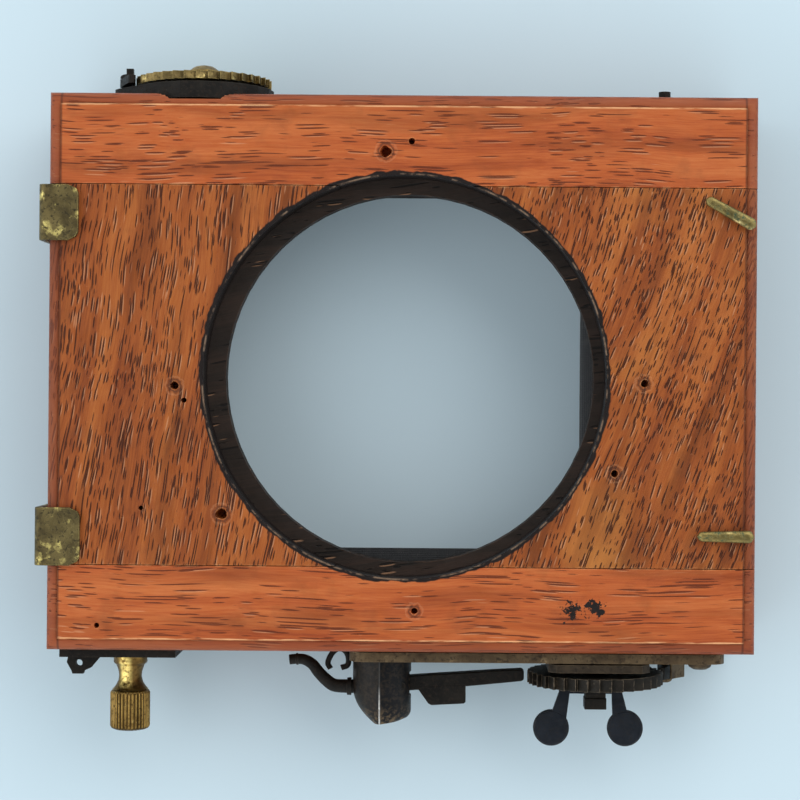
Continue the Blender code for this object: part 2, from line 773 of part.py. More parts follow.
def winder_click(black, brass, bottom, plate):
    pivot = (WINDER_X + WINDER_WHEEL_RADIUS + 1.3 * MM, -9.2 * MM)
    nose = on_ring((WINDER_X, 0), -20, WINDER_WHEEL_RADIUS + 0.7 * MM + GAP)
    click("winder_click", black, bottom, pivot, nose, WHEEL_IN, WHEEL_OUT, brass["dull"], plate)
    leaf = bar_between(
        (nose[0] + 1.9 * MM, nose[1] + 0.5 * MM),
        (pivot[0] + 3.5 * MM, pivot[1] + 1.5 * MM),
        0.25 * MM,
        0.3 * MM,
        2,
    )
    sheet("winder_click_spring", leaf, PLATE_OUT + GAP, WHEEL_OUT - GAP, brass["dull"], bottom)


def pneumatic_release(black, steel, bottom):
    radius = CUP_RADIUS
    bore = radius - CUP_WALL
    foot = PLATE_OUT + GAP
    crown = foot + CUP_HEIGHT
    profile = [
        (0, crown),
        (0.5 * radius, crown - 0.3 * MM),
        (0.78 * radius, crown - 1.1 * MM),
        (0.94 * radius, crown - 2.6 * MM),
        (radius, crown - 5.4 * MM),
        (radius, foot),
        (bore, foot),
        (bore, crown - 5.4 * MM),
        (0.75 * bore, crown - 2.4 * MM),
        (0, crown - 1.8 * MM),
    ]
    cup = turned("release_cylinder", profile, black["gloss"], bottom, (CUP_X, 0, 0), segments=24)

    pivot_x = CUP_X + LEVER_PIVOT_OFFSET
    pivot_z = LEVER_PIVOT_HEIGHT
    half = LEVER_WIDTH / 2
    slot = box(
        "lever_slot",
        (pivot_x, -half - 2 * FIT, pivot_z - 2.4 * MM),
        (CUP_X + radius + GAP, half + 2 * FIT, pivot_z + 2.2 * MM),
        None,
        bottom,
    )
    across = radius * 1.2
    pin_hole = LEVER_PIN_RADIUS + FIT
    pin_place = (pivot_x, 0, pivot_z)
    cut(
        cup,
        slot,
        cylinder("lever_pin_bore", pin_hole, -across, across, None, bottom, pin_place, 14, (90, 0, 0)),
    )
    pin_half = math.sqrt(radius**2 - LEVER_PIVOT_OFFSET**2)
    cylinder(
        "lever_pin", LEVER_PIN_RADIUS, -pin_half, pin_half, steel, bottom, pin_place, 14, (90, 0, 0)
    )

    lever_axis = empty("lever_axis", pin_place, parent=bottom)
    tip = WINDER_X - WINDER_WHEEL_RADIUS - 2 * GAP - pivot_x
    tail = bore - CUP_WALL + LEVER_PIVOT_OFFSET - 1.7 * MM
    tab_left = 3.1 * MM
    tab_right = 12.3 * MM
    thin = 1.2 * MM
    outline = [
        (-tail, LEVER_FALL * tail - 1.3 * MM),
        (tip, -LEVER_FALL * tip - thin),
        (tip, -LEVER_FALL * tip + thin),
        (tab_right, -LEVER_FALL * tab_right + 1.5 * MM),
        (tab_right, 3.6 * MM),
        (tab_left + 2.5 * MM, 4.0 * MM),
        (tab_left, 1.3 * MM),
        (-tail, LEVER_FALL * tail + 1.3 * MM),
    ]
    sheet(
        "release_lever",
        outline,
        -half,
        half,
        black["satin"],
        lever_axis,
        rotation=(90, 0, 0),
        holes=[circle((0, 0), pin_hole, 14)],
    )

    piston_axis = empty("piston_axis", (CUP_X, 0, 0), parent=bottom)
    cylinder(
        "release_piston", bore - FIT, foot + 2.3 * MM, foot + 3.6 * MM, steel, piston_axis, segments=28
    )

    start = pivot_z + 0.5 * MM + 1.3 * MM + 2 * GAP
    end = crown - 2.4 * MM - 3 * GAP
    points = []
    for step in range(31):
        angle = math.tau * step / 10
        points.append((1.7 * MM * math.cos(angle), 1.7 * MM * math.sin(angle), start + (end - start) * step / 30))
    wire("release_spring", points, SPRING_WIRE, steel, bottom, sides=1, location=(CUP_X, 0, 0))


def air_fitting(black, bottom):
    """The bent nipple for the rubber hose, and the wire that steadies it."""
    start = CUP_X - CUP_RADIUS - GAP
    route = (
        (0.0, 8.4),
        (-1.4, 8.4),
        (-3.6, 8.2),
        (-5.1, 7.2),
        (-6.6, 5.7),
        (-7.8, 4.2),
        (-9.3, 3.3),
        (-10.8, 3.15),
        (-12.3, 3.3),
    )
    points = [(start + x * MM, 0, z * MM) for x, z in route]
    last = len(points) - 1
    taper = [1 - 0.3 * index / last for index in range(last + 1)]
    wire("air_nipple", points, 1.35 * MM, black["satin"], bottom, taper)
    loop = (
        (-4.3, 5.0),
        (-4.8, 3.8),
        (-3.9, 1.9),
        (-2.4, 1.0),
        (-1.0, 2.2),
        (-0.9, 4.2),
        (-2.2, 4.8),
    )
    points = [(start + x * MM, 0, z * MM) for x, z in loop]
    wire("nipple_steady", points, 0.55 * MM, black["satin"], bottom)


def knob(brass, black, bottom, walls):
    left = KNOB_X - KNOB_PLATE_LEFT
    right = KNOB_X + KNOB_PLATE_RIGHT
    rear = -9 * MM
    front = 11 * MM
    outline = [(left, rear), (right, rear), (right, front), (left, front)]
    hole = circle((KNOB_X, 0), KNOB_SCREW_RADIUS + FIT, 16)
    plate = sheet("knob_plate", outline, GAP, KNOB_PLATE_OUT, black["satin"], bottom, holes=[hole])
    place = (right - 3.5 * MM, rear + 3.5 * MM, KNOB_PLATE_OUT + GAP)
    screw("knob_plate_screw", SMALL_SCREW, black["satin"], bottom, place)
    bore = screw_bore("knob_plate_screw_bore", SMALL_SCREW, bottom, place)
    cut(plate, bore)
    cut(walls["bottom"], bore)

    eye_foot = KNOB_PLATE_OUT + GAP
    eye = [
        (left + 0.7 * MM, eye_foot),
        (left + 7.1 * MM, eye_foot),
        (left + 5.1 * MM, eye_foot + 2.4 * MM),
        (left + 3.8 * MM, eye_foot + 3.0 * MM),
        (left + 3.6 * MM, eye_foot + 3.6 * MM),
        (left + 1.5 * MM, eye_foot + 3.6 * MM),
        (left + 1.3 * MM, eye_foot + 3.0 * MM),
        (left + 0.4 * MM, eye_foot + 1.4 * MM),
    ]
    hole = circle((left + 2.8 * MM, eye_foot + 1.5 * MM), 0.65 * MM, 14)
    sheet(
        "cord_eye",
        eye,
        -0.6 * MM,
        0.6 * MM,
        black["satin"],
        bottom,
        location=(0, 5 * MM, 0),
        rotation=(90, 0, 0),
        holes=[hole],
    )

    axis = empty("knob_axis", (KNOB_X, 0, 0), parent=bottom)
    foot = KNOB_PLATE_OUT + GAP
    head_in = foot + 7.3 * MM
    head_out = head_in + 7.5 * MM
    collar = KNOB_COLLAR_RADIUS
    neck = KNOB_NECK_RADIUS
    head = KNOB_HEAD_RADIUS
    profile = [
        (0, head_out + 0.4 * MM),
        (0.6 * head, head_out + 0.25 * MM),
        (0.9 * head, head_out - 0.1 * MM),
        (0.9 * head, head_in - 0.1 * MM),
        (neck + 0.5 * MM, head_in - 1.3 * MM),
        (neck, head_in - 2.7 * MM),
        (neck + 0.2 * MM, head_in - 3.9 * MM),
        (collar - 0.4 * MM, foot + 2.3 * MM),
        (collar, foot + 2.1 * MM),
        (collar, foot),
        (KNOB_SCREW_RADIUS, foot),
        (KNOB_SCREW_RADIUS, -WALL + GAP),
        (0, -WALL + GAP),
    ]
    made = turned("tension_brake_knob", profile, brass["worn"], axis, segments=20)
    join(
        made,
        sheet("knob_ribs", ribbed(head, 0.28 * MM, KNOB_RIBS), head_in, head_out, None, axis),
    )


# Top side


def tension_ratchet(brass, black, top, axis, walls, top_rail):
    low = GAP - TENSION_RECESS
    outline = bar_between((0, 0), (-TENSION_LOBE_OFFSET, 0), TENSION_PLATE_RADIUS, TENSION_LOBE_RADIUS)
    centre = (SPRING_X, 0, 0)
    bore = circle((0, 0), PIVOT_RADIUS + 2 * FIT, 20)
    plate = sheet(
        "tension_plate", outline, low, TENSION_PLATE_OUT, black["satin"], top, centre, holes=[bore]
    )
    recess = bar_between(
        (0, 0),
        (-TENSION_LOBE_OFFSET, 0),
        TENSION_PLATE_RADIUS + GAP,
        TENSION_LOBE_RADIUS + GAP,
        6,
    )
    pocket = sheet("tension_recess", recess, -TENSION_RECESS, GAP, None, top, centre)
    for board in (walls["top"], walls["rear"], top_rail):
        cut(board, pocket)

    hole = circle((0, 0), PIVOT_RADIUS + FIT, 20)
    wheel = ratchet(TENSION_WHEEL_RADIUS, TOOTH_DEPTH, TEETH)
    sheet("tension_ratchet_wheel", wheel, TENSION_WHEEL_IN, TENSION_WHEEL_OUT, brass["worn"], axis, holes=[hole])
    crown = HUB_IN + HUB_HEIGHT
    hub = [
        (0, crown),
        (0.45 * HUB_RADIUS, crown - 0.25 * MM),
        (0.8 * HUB_RADIUS, crown - 1.1 * MM),
        (HUB_RADIUS, HUB_IN + 0.5 * MM),
        (HUB_RADIUS, HUB_IN),
        (0, HUB_IN),
    ]
    turned("tension_hub", hub, brass["worn"], axis, segments=28)

    lobe = (SPRING_X - TENSION_LOBE_OFFSET - 1.2 * MM, 0)
    nose = on_ring((SPRING_X, 0), 205, TENSION_WHEEL_RADIUS + 0.7 * MM + 2 * GAP)
    pawl, pivot = click(
        "tension_click",
        black["satin"],
        top,
        lobe,
        nose,
        TENSION_WHEEL_IN,
        TENSION_WHEEL_OUT,
        black["satin"],
    )
    share = 0.62
    peg_x = share * (nose[0] - lobe[0])
    peg_y = share * (nose[1] - lobe[1])
    half = 0.65 * MM
    join(
        pawl,
        box(
            "click_peg",
            (peg_x - half, peg_y - half, TENSION_WHEEL_IN + GAP),
            (peg_x + half, peg_y + half, TENSION_WHEEL_OUT + 1.5 * MM),
            None,
            pivot,
        ),
    )
    screw_hole = (lobe[0], lobe[1], TENSION_WHEEL_OUT + GAP)
    cut(plate, cylinder("click_screw_bore", SMALL_SCREW[2] + FIT, -WALL, 0, None, top, screw_hole, 14))

    cylinder(
        "stop_pin",
        STOP_PIN_RADIUS,
        -3 * MM,
        STOP_PIN_HEIGHT,
        black["satin"],
        top,
        (stop_pin_x(), -4 * MM),
        16,
    )


# Fastenings of the lens panel


def clip(name, brass, origin, middle, walls):
    """An L of sheet brass, screwed to the left wall, that holds down the panel's edge."""
    left = -CLIP_SIDE
    right = left + CLIP_REACH
    half = CLIP_LENGTH / 2
    corner = CLIP_CORNER
    outline = (
        [(left, middle + half), (left, middle - half)]
        + arc((right - corner, middle - half + corner), corner, 270, 360, 5)
        + arc((right - corner, middle + half - corner), corner, 0, 90, 5)
    )
    flange = sheet(name, outline, BOX_DEPTH + GAP, CLIP_FACE, brass["patina"], origin)
    inset = 0.1 * MM
    leg = box(
        name + "_leg",
        (left - 0.001 * MM, middle - half + inset, CLIP_FACE - CLIP_LEG),
        (left + CLIP_SHEET, middle + half - inset, CLIP_FACE - inset),
        None,
        origin,
    )
    join(flange, leg)
    height = CLIP_FACE - CLIP_LEG + 2.6 * MM
    for side, y in (("upper", middle + 2.6 * MM), ("lower", middle - 2.6 * MM)):
        place = (-CLIP_SIDE - GAP, y, height)
        out = (0, -90, 0)
        screw(f"{name}_{side}_screw", CLIP_SCREW, brass["patina"], origin, place, out)
        bore = screw_bore(f"{name}_{side}_screw_bore", CLIP_SCREW, origin, place, out)
        cut(flange, bore)
        cut(walls["left"], bore)


def hook(name, brass, origin, y, angle, walls):
    """A turning hook: an arm over the panel on a shank that goes into the right wall."""
    axis = empty(name + "_axis", (HOOK_X, y, 0), parent=origin)
    direction = (HOOK_ARM * math.cos(math.radians(angle)), HOOK_ARM * math.sin(math.radians(angle)))
    outline = bar_between((0, 0), direction, HOOK_WIDTH / 2, 0.7 * HOOK_WIDTH / 2)
    face = BOX_DEPTH + GAP
    made = sheet(name, outline, face, face + HOOK_SHEET, brass["patina"], axis)
    deep = WALL_FRONT - HOOK_DEPTH
    join(
        made,
        cylinder(name + "_shank", HOOK_SHANK_RADIUS, deep, face + HOOK_SHEET / 2, None, axis, segments=16),
    )
    bore = cylinder(
        name + "_bore", HOOK_SHANK_RADIUS + FIT, deep - GAP, WALL_FRONT + GAP, None, origin, (HOOK_X, y), 16
    )
    cut(walls["right"], bore)


# The whole shutter


def clear_scene():
    for old in list(bpy.data.objects):
        bpy.data.objects.remove(old)
    for name in (PARTS, CUTTERS):
        collection = bpy.data.collections.new(name)
        bpy.context.scene.collection.children.link(collection)
    bpy.data.collections[CUTTERS].hide_render = True


def box_centre():
    """The middle of everything that stands out, from the centre of the wooden box."""
    left = -CLIP_SIDE - GAP - CLIP_SCREW[1]
    right = HALF_WIDTH
    bottom = -HALF_HEIGHT - WHEEL_OUT - KEY_DISC_REACH - KEY_DISC_RADIUS
    top = HALF_HEIGHT + HUB_IN + HUB_HEIGHT
    return ((left + right) / 2, (bottom + top) / 2)


def build():
    clear_scene()
    wood = {
        "panel": material("mahogany_panel", (0.40, 0.13, 0.04), 0.45, 0.0),
        "rail": material("mahogany_rail", (0.50, 0.14, 0.05), 0.40, 0.0),
        "dark": material("blackened_wood", (0.035, 0.022, 0.016), 0.6, 0.0),
    }
    brass = {
        "patina": material("patinated_brass", (0.42, 0.33, 0.14), 0.45, 1.0),
        "worn": material("worn_brass", (0.55, 0.38, 0.14), 0.38, 1.0),
        "dull": material("dull_brass", (0.17, 0.12, 0.07), 0.6, 0.8),
    }
    black = {
        "gloss": material("black_lacquer", (0.012, 0.011, 0.010), 0.3, 0.1),
        "satin": material("blackened_metal", (0.03, 0.026, 0.023), 0.5, 0.6),
    }
    cloth = material("black_blind_cloth", (0.012, 0.012, 0.013), 0.8, 0.0)
    steel = material("old_steel", (0.25, 0.24, 0.22), 0.45, 1.0)

    middle = box_centre()
    origin = empty("shutter_origin", (-middle[0], -middle[1], 0))
    bottom = empty("bottom_side", (0, -HALF_HEIGHT, AXIS_Z), (90, 0, 0), origin)
    top = empty("top_side", (0, HALF_HEIGHT, AXIS_Z), (-90, 0, 0), origin)
    winder_axis = empty("winder_axis", (WINDER_X, 0, 0), parent=bottom)
    spring_axis = empty("spring_roller_axis", (SPRING_X, 0, 0), parent=top)

    walls = wooden_box(wood, origin, bottom, top)
    top_rail = lens_panel(wood, origin)
    blind(cloth, steel, origin)
    winding_roller(wood, cloth, brass["dull"], bottom, top, winder_axis)
    spring_roller(wood, cloth, brass["dull"], steel, bottom, top, spring_axis)
    plate = winder_plates(brass, bottom, walls)
    winder_wheel_and_key(black["satin"], winder_axis)
    winder_click(black["satin"], brass, bottom, plate)
    pneumatic_release(black, steel, bottom)
    air_fitting(black, bottom)
    knob(brass, black, bottom, walls)
    tension_ratchet(brass, black, top, spring_axis, walls, top_rail)
    clip("upper_clip", brass, origin, UPPER_CLIP_Y, walls)
    clip("lower_clip", brass, origin, LOWER_CLIP_Y, walls)
    hook("upper_hook", brass, origin, UPPER_HOOK_Y, UPPER_HOOK_ANGLE, walls)
    hook("lower_hook", brass, origin, LOWER_HOOK_Y, LOWER_HOOK_ANGLE, walls)
    bpy.context.view_layer.update()


build()
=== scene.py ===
import math
import random

import bmesh
import bpy
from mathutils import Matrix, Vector, noise


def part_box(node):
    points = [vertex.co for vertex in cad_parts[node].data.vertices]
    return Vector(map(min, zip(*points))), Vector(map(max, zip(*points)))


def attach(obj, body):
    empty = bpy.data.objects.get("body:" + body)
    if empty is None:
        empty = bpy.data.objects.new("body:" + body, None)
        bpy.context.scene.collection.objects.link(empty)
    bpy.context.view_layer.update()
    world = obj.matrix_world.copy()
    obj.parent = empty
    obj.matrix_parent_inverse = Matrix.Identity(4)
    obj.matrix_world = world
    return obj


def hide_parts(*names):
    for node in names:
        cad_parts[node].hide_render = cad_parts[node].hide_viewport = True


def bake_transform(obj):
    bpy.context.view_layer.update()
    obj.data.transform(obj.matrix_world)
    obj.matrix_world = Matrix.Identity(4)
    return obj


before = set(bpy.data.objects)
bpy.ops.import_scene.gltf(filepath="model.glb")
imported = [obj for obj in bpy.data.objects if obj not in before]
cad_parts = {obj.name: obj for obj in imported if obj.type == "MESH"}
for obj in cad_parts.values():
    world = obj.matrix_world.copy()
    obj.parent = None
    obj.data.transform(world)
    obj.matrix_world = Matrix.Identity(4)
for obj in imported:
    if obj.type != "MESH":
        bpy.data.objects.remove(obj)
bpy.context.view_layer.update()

MM = 0.001

# The box of the rear board gives the middle of the wooden box; lengths below are in mm from there.
rear_low, rear_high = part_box("rear_board")
CENTRE = (Vector(rear_low) + Vector(rear_high)) / 2
HALF_X = (rear_high[0] - rear_low[0]) / 2 / MM
HALF_Y = (rear_high[1] - rear_low[1]) / 2 / MM
MIDDLE_X, MIDDLE_Y = CENTRE.x / MM, CENTRE.y / MM
FRONT = 30.0
PANEL_REAR = 23.3
AXIS = 15.0
HOLE_X, HOLE_Y, HOLE_R = 0.5, -0.6, 37.9
TOP_JOINT = 35.2
BOTTOM_JOINT = -36.3
WINDER_X = 37.7
SPRING_X = -39.4
CUP_X = -3.9
KNOB_X = -52.9


def place(x, y, z):
    return Vector((CENTRE.x + x * MM, CENTRE.y + y * MM, z * MM))


def from_board(point):
    return place(*point)


def from_bottom(point):
    """x along the side, y towards the front, z out of the bottom side."""
    x, y, z = point
    return place(x, -HALF_Y - z, AXIS + y)


def from_top(point):
    x, y, z = point
    return place(x, HALF_Y + z, AXIS - y)


# Materials


class Nodes:
    """A material under construction."""

    def __init__(self, material):
        """Starts a material from its name, or adds to one that is already made."""
        if isinstance(material, str):
            material = bpy.data.materials.new(material)
            material.use_nodes = True
        self.material = material
        self.tree = material.node_tree
        self.shader = self.tree.nodes["Principled BSDF"]
        coordinates = self.make("ShaderNodeTexCoord")
        self.place = self.mapped(coordinates.outputs["Object"], scale=(1 / MM, 1 / MM, 1 / MM))

    def source(self, name):
        """What feeds a socket of the shader now."""
        return self.shader.inputs[name].links[0].from_socket

    def make(self, kind, **settings):
        node = self.tree.nodes.new(kind)
        for key, value in settings.items():
            setattr(node, key, value)
        return node

    def put(self, socket, value):
        if isinstance(value, bpy.types.NodeSocket):
            self.tree.links.new(value, socket)
        else:
            socket.default_value = value

    def mapped(self, vector, scale=(1, 1, 1), turn=(0, 0, 0), shift=(0, 0, 0)):
        node = self.make("ShaderNodeMapping")
        self.put(node.inputs["Vector"], vector)
        node.inputs["Scale"].default_value = scale
        node.inputs["Rotation"].default_value = [math.radians(a) for a in turn]
        node.inputs["Location"].default_value = shift
        return node.outputs["Vector"]

    def noise(self, vector, scale=1.0, detail=3.0, rough=0.5, distortion=0.0, colour=False):
        node = self.make("ShaderNodeTexNoise")
        self.put(node.inputs["Vector"], vector)
        node.inputs["Scale"].default_value = scale
        node.inputs["Detail"].default_value = detail
        node.inputs["Roughness"].default_value = rough
        node.inputs["Distortion"].default_value = distortion
        return node.outputs["Color" if colour else "Fac"]

    def ramp(self, value, *stops):
        node = self.make("ShaderNodeValToRGB")
        ramp = node.color_ramp
        while len(ramp.elements) < len(stops):
            ramp.elements.new(0.5)
        for element, (position, colour) in zip(ramp.elements, stops):
            element.position = position
            element.color = (*colour, 1)
        self.put(node.inputs["Fac"], value)
        return node.outputs["Color"]

    def span(self, value, low, high, start=0.0, end=1.0):
        node = self.make("ShaderNodeMapRange", clamp=True)
        self.put(node.inputs["Value"], value)
        node.inputs["From Min"].default_value = low
        node.inputs["From Max"].default_value = high
        node.inputs["To Min"].default_value = start
        node.inputs["To Max"].default_value = end
        return node.outputs["Result"]

    def calc(self, operation, first, second=0.5, clamp=False):
        node = self.make("ShaderNodeMath", operation=operation, use_clamp=clamp)
        self.put(node.inputs[0], first)
        self.put(node.inputs[1], second)
        return node.outputs[0]

    def mix(self, share, first, second):
        node = self.make("ShaderNodeMix", data_type="RGBA")
        self.put(node.inputs[0], share)
        for socket, value in ((node.inputs[6], first), (node.inputs[7], second)):
            self.put(socket, (*value, 1) if isinstance(value, tuple) else value)
        return node.outputs[2]

    def moved(self, vector, offset, share):
        scaled = self.make("ShaderNodeVectorMath", operation="SCALE")
        self.put(scaled.inputs[0], offset)
        scaled.inputs["Scale"].default_value = share
        added = self.make("ShaderNodeVectorMath", operation="ADD")
        self.put(added.inputs[0], vector)
        self.put(added.inputs[1], scaled.outputs[0])
        return added.outputs[0]

    def parts(self, vector):
        node = self.make("ShaderNodeSeparateXYZ")
        self.put(node.inputs[0], vector)
        return node.outputs

    def distance(self, centre):
        """Distance in mm from a vertical axis through a board point."""
        x, y, _ = self.parts(self.place)
        dx = self.calc("SUBTRACT", x, MIDDLE_X + centre[0])
        dy = self.calc("SUBTRACT", y, MIDDLE_Y + centre[1])
        return self.length(dx, dy)

    def length(self, first, second):
        square = self.calc("ADD", self.calc("MULTIPLY", first, first), self.calc("MULTIPLY", second, second))
        return self.calc("SQRT", square)

    def gap(self, value, centre):
        return self.calc("ABSOLUTE", self.calc("SUBTRACT", value, centre))

    def both(self, *masks):
        """Where every mask holds."""
        product = masks[0]
        for mask in masks[1:]:
            product = self.calc("MULTIPLY", product, mask)
        return product

    def edges(self, radius, low, high):
        """1 along edges, 0 on faces."""
        bevel = self.make("ShaderNodeBevel", samples=4)
        bevel.inputs["Radius"].default_value = radius * MM
        plain = self.make("ShaderNodeNewGeometry")
        dot = self.make("ShaderNodeVectorMath", operation="DOT_PRODUCT")
        self.put(dot.inputs[0], bevel.outputs[0])
        self.put(dot.inputs[1], plain.outputs["Normal"])
        return self.span(self.calc("SUBTRACT", 1.0, dot.outputs["Value"]), low, high)

    def bump(self, height, distance, strength):
        node = self.make("ShaderNodeBump")
        self.put(node.inputs["Height"], height)
        node.inputs["Distance"].default_value = distance * MM
        node.inputs["Strength"].default_value = strength
        return node.outputs["Normal"]

    def finish(self, **sockets):
        for name, value in sockets.items():
            self.put(self.shader.inputs[name.replace("_", " ")], value)
        return self.material


def wood(name, lean, tones, pore, length, spacing, amount, seed, streak=0.5, clouds=None):
    """Varnished open-pored wood. lean is the grain's angle from X in degrees, length and spacing the
    pores' in mm."""
    n = Nodes(name)
    dark, middle, light = tones
    wander = n.noise(n.place, 0.025, 2, 0.5, colour=True)
    along = n.mapped(n.moved(n.place, wander, 5.0), turn=(0, 0, -lean), shift=(seed * 17.3, seed * 9.1, 0))
    bands = n.noise(n.mapped(along, (0.018, 0.26, 0.26)), 1, 3, 0.55)
    fibres = n.noise(n.mapped(along, (0.12, 3.2, 3.2)), 1, 3, 0.6)
    fine = n.noise(n.mapped(along, (0.5, 7.0, 7.0)), 1, 2, 0.6)
    tone = n.calc("ADD", n.calc("MULTIPLY", bands, 0.62), n.calc("MULTIPLY", fibres, 0.38))
    base = n.ramp(tone, (0.34, dark), (0.5, middle), (0.68, light))
    base = n.mix(n.span(fine, 0.35, 0.7, 0.0, 0.32), base, middle)
    if clouds:
        patch = n.noise(n.place, 0.045, 2, 0.5)
        base = n.mix(n.span(patch, 0.48, 0.66, 0, 0.75), base, clouds)

    def pores(stretch, gap, radius, share, shift):
        """Separate dashes along the grain, crowded in some bands and sparse in others."""
        cell = n.make("ShaderNodeTexVoronoi")
        n.put(cell.inputs["Vector"], n.mapped(along, (1 / stretch, 1 / gap, 1 / gap), shift=shift))
        cell.inputs["Scale"].default_value = 1.0
        dice = n.make("ShaderNodeSeparateColor")
        n.put(dice.inputs[0], cell.outputs["Color"])
        crowd = n.noise(n.mapped(along, (0.03, 0.2, 0.2), shift=shift), 1, 2, 0.5)
        chance = n.span(crowd, 0.32, 0.68, share - 0.35, share + 0.35)
        size = n.span(n.calc("SUBTRACT", chance, dice.outputs[0]), 0.0, 0.18, 0.0, radius)
        return n.span(n.calc("SUBTRACT", size, cell.outputs["Distance"]), 0.0, 0.09)

    layers = [
        pores(length, spacing, 0.33, amount, (3.1, 0.7, 0.2)),
        pores(length * 0.5, spacing * 0.85, 0.34, amount * 0.85, (0.4, 5.3, 1.7)),
        pores(length * 2.4, spacing * 0.9, 0.31, amount, (8.4, 2.3, 4.4)),
    ]
    lines = n.calc("MAXIMUM", n.calc("MAXIMUM", layers[0], layers[1]), layers[2])
    # Painted highlight: a light copy of the pores, shifted across the grain, stands in for the glint beside
    # each pore.
    pore_glint = pores(length, spacing, 0.31, amount, (3.1, 0.7 + 0.22 / spacing, 0.2))
    smudge = n.noise(n.mapped(along, (0.03, 0.22, 0.22), shift=(5, 1, 0)), 1, 3, 0.55)
    base = n.mix(n.span(smudge, 0.50, 0.74, 0, streak), base, tuple(0.42 * c for c in middle))
    base = n.mix(n.both(lines, 0.90), base, pore)
    base = n.mix(n.calc("MULTIPLY", n.calc("SUBTRACT", pore_glint, lines, clamp=True), 0.34), base, (0.66, 0.34, 0.18))
    return n, base, lines, fine


def finish_wood(n, base, lines, fine, painted=False):
    """Grime, wear, scratches and varnish, the moulded edge's tones with their painted highlight and shade, and
    on the lens panel the black paint round the opening with its rubbed, partly highlighted corner.
    """
    grime = n.noise(n.place, 0.16, 4, 0.6)
    base = n.mix(n.span(grime, 0.55, 0.8, 0, 0.35), base, (0.09, 0.03, 0.012))
    edge = n.both(n.edges(0.45, 0.05, 0.3), n.span(n.noise(n.place, 0.5, 3), 0.45, 0.6))
    base = moulded_tone(n, n.mix(n.both(edge, 0.6), base, (0.78, 0.36, 0.15)))
    scratch = n.noise(n.mapped(n.place, (0.9, 5.5, 1), turn=(0, 0, 37)), 1, 2, 0.5, 0.6)
    base = n.mix(n.span(scratch, 0.72, 0.78, 0, 0.25), base, (0.66, 0.33, 0.16))
    rough = n.span(n.noise(n.place, 0.3, 3), 0.3, 0.7, 0.34, 0.54)
    if painted:
        base = rim_wear_and_highlight(n, n.mix(rim_mask(n), base, RIM_BLACK))
    height = n.calc("SUBTRACT", n.calc("MULTIPLY", fine, 0.25), lines)
    return n.finish(
        Base_Color=base,
        Roughness=rough,
        Normal=n.bump(height, 0.22, 0.8),
        Specular_IOR_Level=0.2,
    )


def moulded_tone(n, base):
    """The moulded edge is darker and redder than the flat field; the step's corner gets a painted highlight
    along the long sides and a painted shade line along the short ones."""
    x, y, _ = n.parts(n.place)
    from_side = n.calc("SUBTRACT", HALF_X, n.gap(x, MIDDLE_X))
    from_end = n.calc("SUBTRACT", HALF_Y, n.gap(y, MIDDLE_Y))
    near = n.calc("MINIMUM", from_side, from_end)
    base = n.mix(n.span(near, 2.5, 2.0, 0, 0.62), base, (0.20, 0.048, 0.020))
    # Painted shade: a dark line in the corner at the step along the short sides.
    base = n.mix(n.span(n.gap(from_side, 2.35), 0.32, 0.08, 0, 0.7), base, (0.07, 0.018, 0.009))
    # Painted highlight: a bright broken line along the step's corner on the long sides.
    ragged = n.span(n.noise(n.mapped(n.place, (0.12, 1, 1)), 1, 3, 0.6), 0.42, 0.56)
    worn = n.span(n.gap(from_end, 2.32), 0.28, 0.06)
    inside = n.span(from_side, 2.2, 3.0)
    return n.mix(n.both(worn, ragged, inside, 0.85), base, (0.80, 0.42, 0.20))


RIM_BLACK = (0.010, 0.006, 0.005)
PAINT_RADIUS = 38.55


def hole_rings(n, base, holes):
    """The dented, darkened ring that a screw head left round each old hole, with a painted highlight on the
    dent's outer lip.
    """
    ragged = n.span(n.noise(n.place, 1.2, 3, 0.6), 0.3, 0.7, -0.25, 0.25)
    for x, y, radius in holes:
        away = n.calc("ADD", n.distance((x, y)), ragged)
        ring = n.span(n.gap(away, radius + 0.35), 0.4, 0.1, 0, 0.7)
        base = n.mix(ring, base, (0.07, 0.022, 0.011))
        # Painted highlight: a faint light ring just outside the dark one, on the dent's lip.
        dent_highlight = n.span(n.gap(away, radius + 0.95), 0.25, 0.05, 0, 0.14)
        base = n.mix(dent_highlight, base, (0.66, 0.34, 0.18))
    return base


def paint_spots(n, base, spots):
    """Dried specks of black paint."""
    torn = n.span(n.noise(n.place, 0.75, 4, 0.7), 0.3, 0.7, -1.5, 1.5)
    for x, y, radius in spots:
        away = n.calc("ADD", n.distance((x, y)), torn)
        base = n.mix(n.span(away, radius, radius - 0.3), base, (0.012, 0.009, 0.008))
    return base


def rim_mask(n):
    """Black paint inside the opening and over its rim, with a ragged outer edge."""
    ragged = n.span(n.noise(n.place, 0.28, 3, 0.55), 0.3, 0.7, -0.32, 0.32)
    around = n.calc("ADD", n.distance((HOLE_X, HOLE_Y)), ragged)
    return n.span(around, PAINT_RADIUS + 0.22, PAINT_RADIUS)


def rim_wear_and_highlight(n, base):
    """The bright broken line on the rim's corner: partly paint rubbed off there, partly a painted highlight of
    the corner.
    """
    off = n.gap(n.distance((HOLE_X, HOLE_Y)), 38.05)
    _, _, z = n.parts(n.place)
    high = n.span(z, FRONT - 1.2, FRONT - 0.7)
    ragged = n.span(n.noise(n.place, 0.35, 3, 0.6), 0.48, 0.6)
    return n.mix(n.both(n.span(off, 0.22, 0.05), high, ragged, 0.6), base, (0.30, 0.19, 0.12))


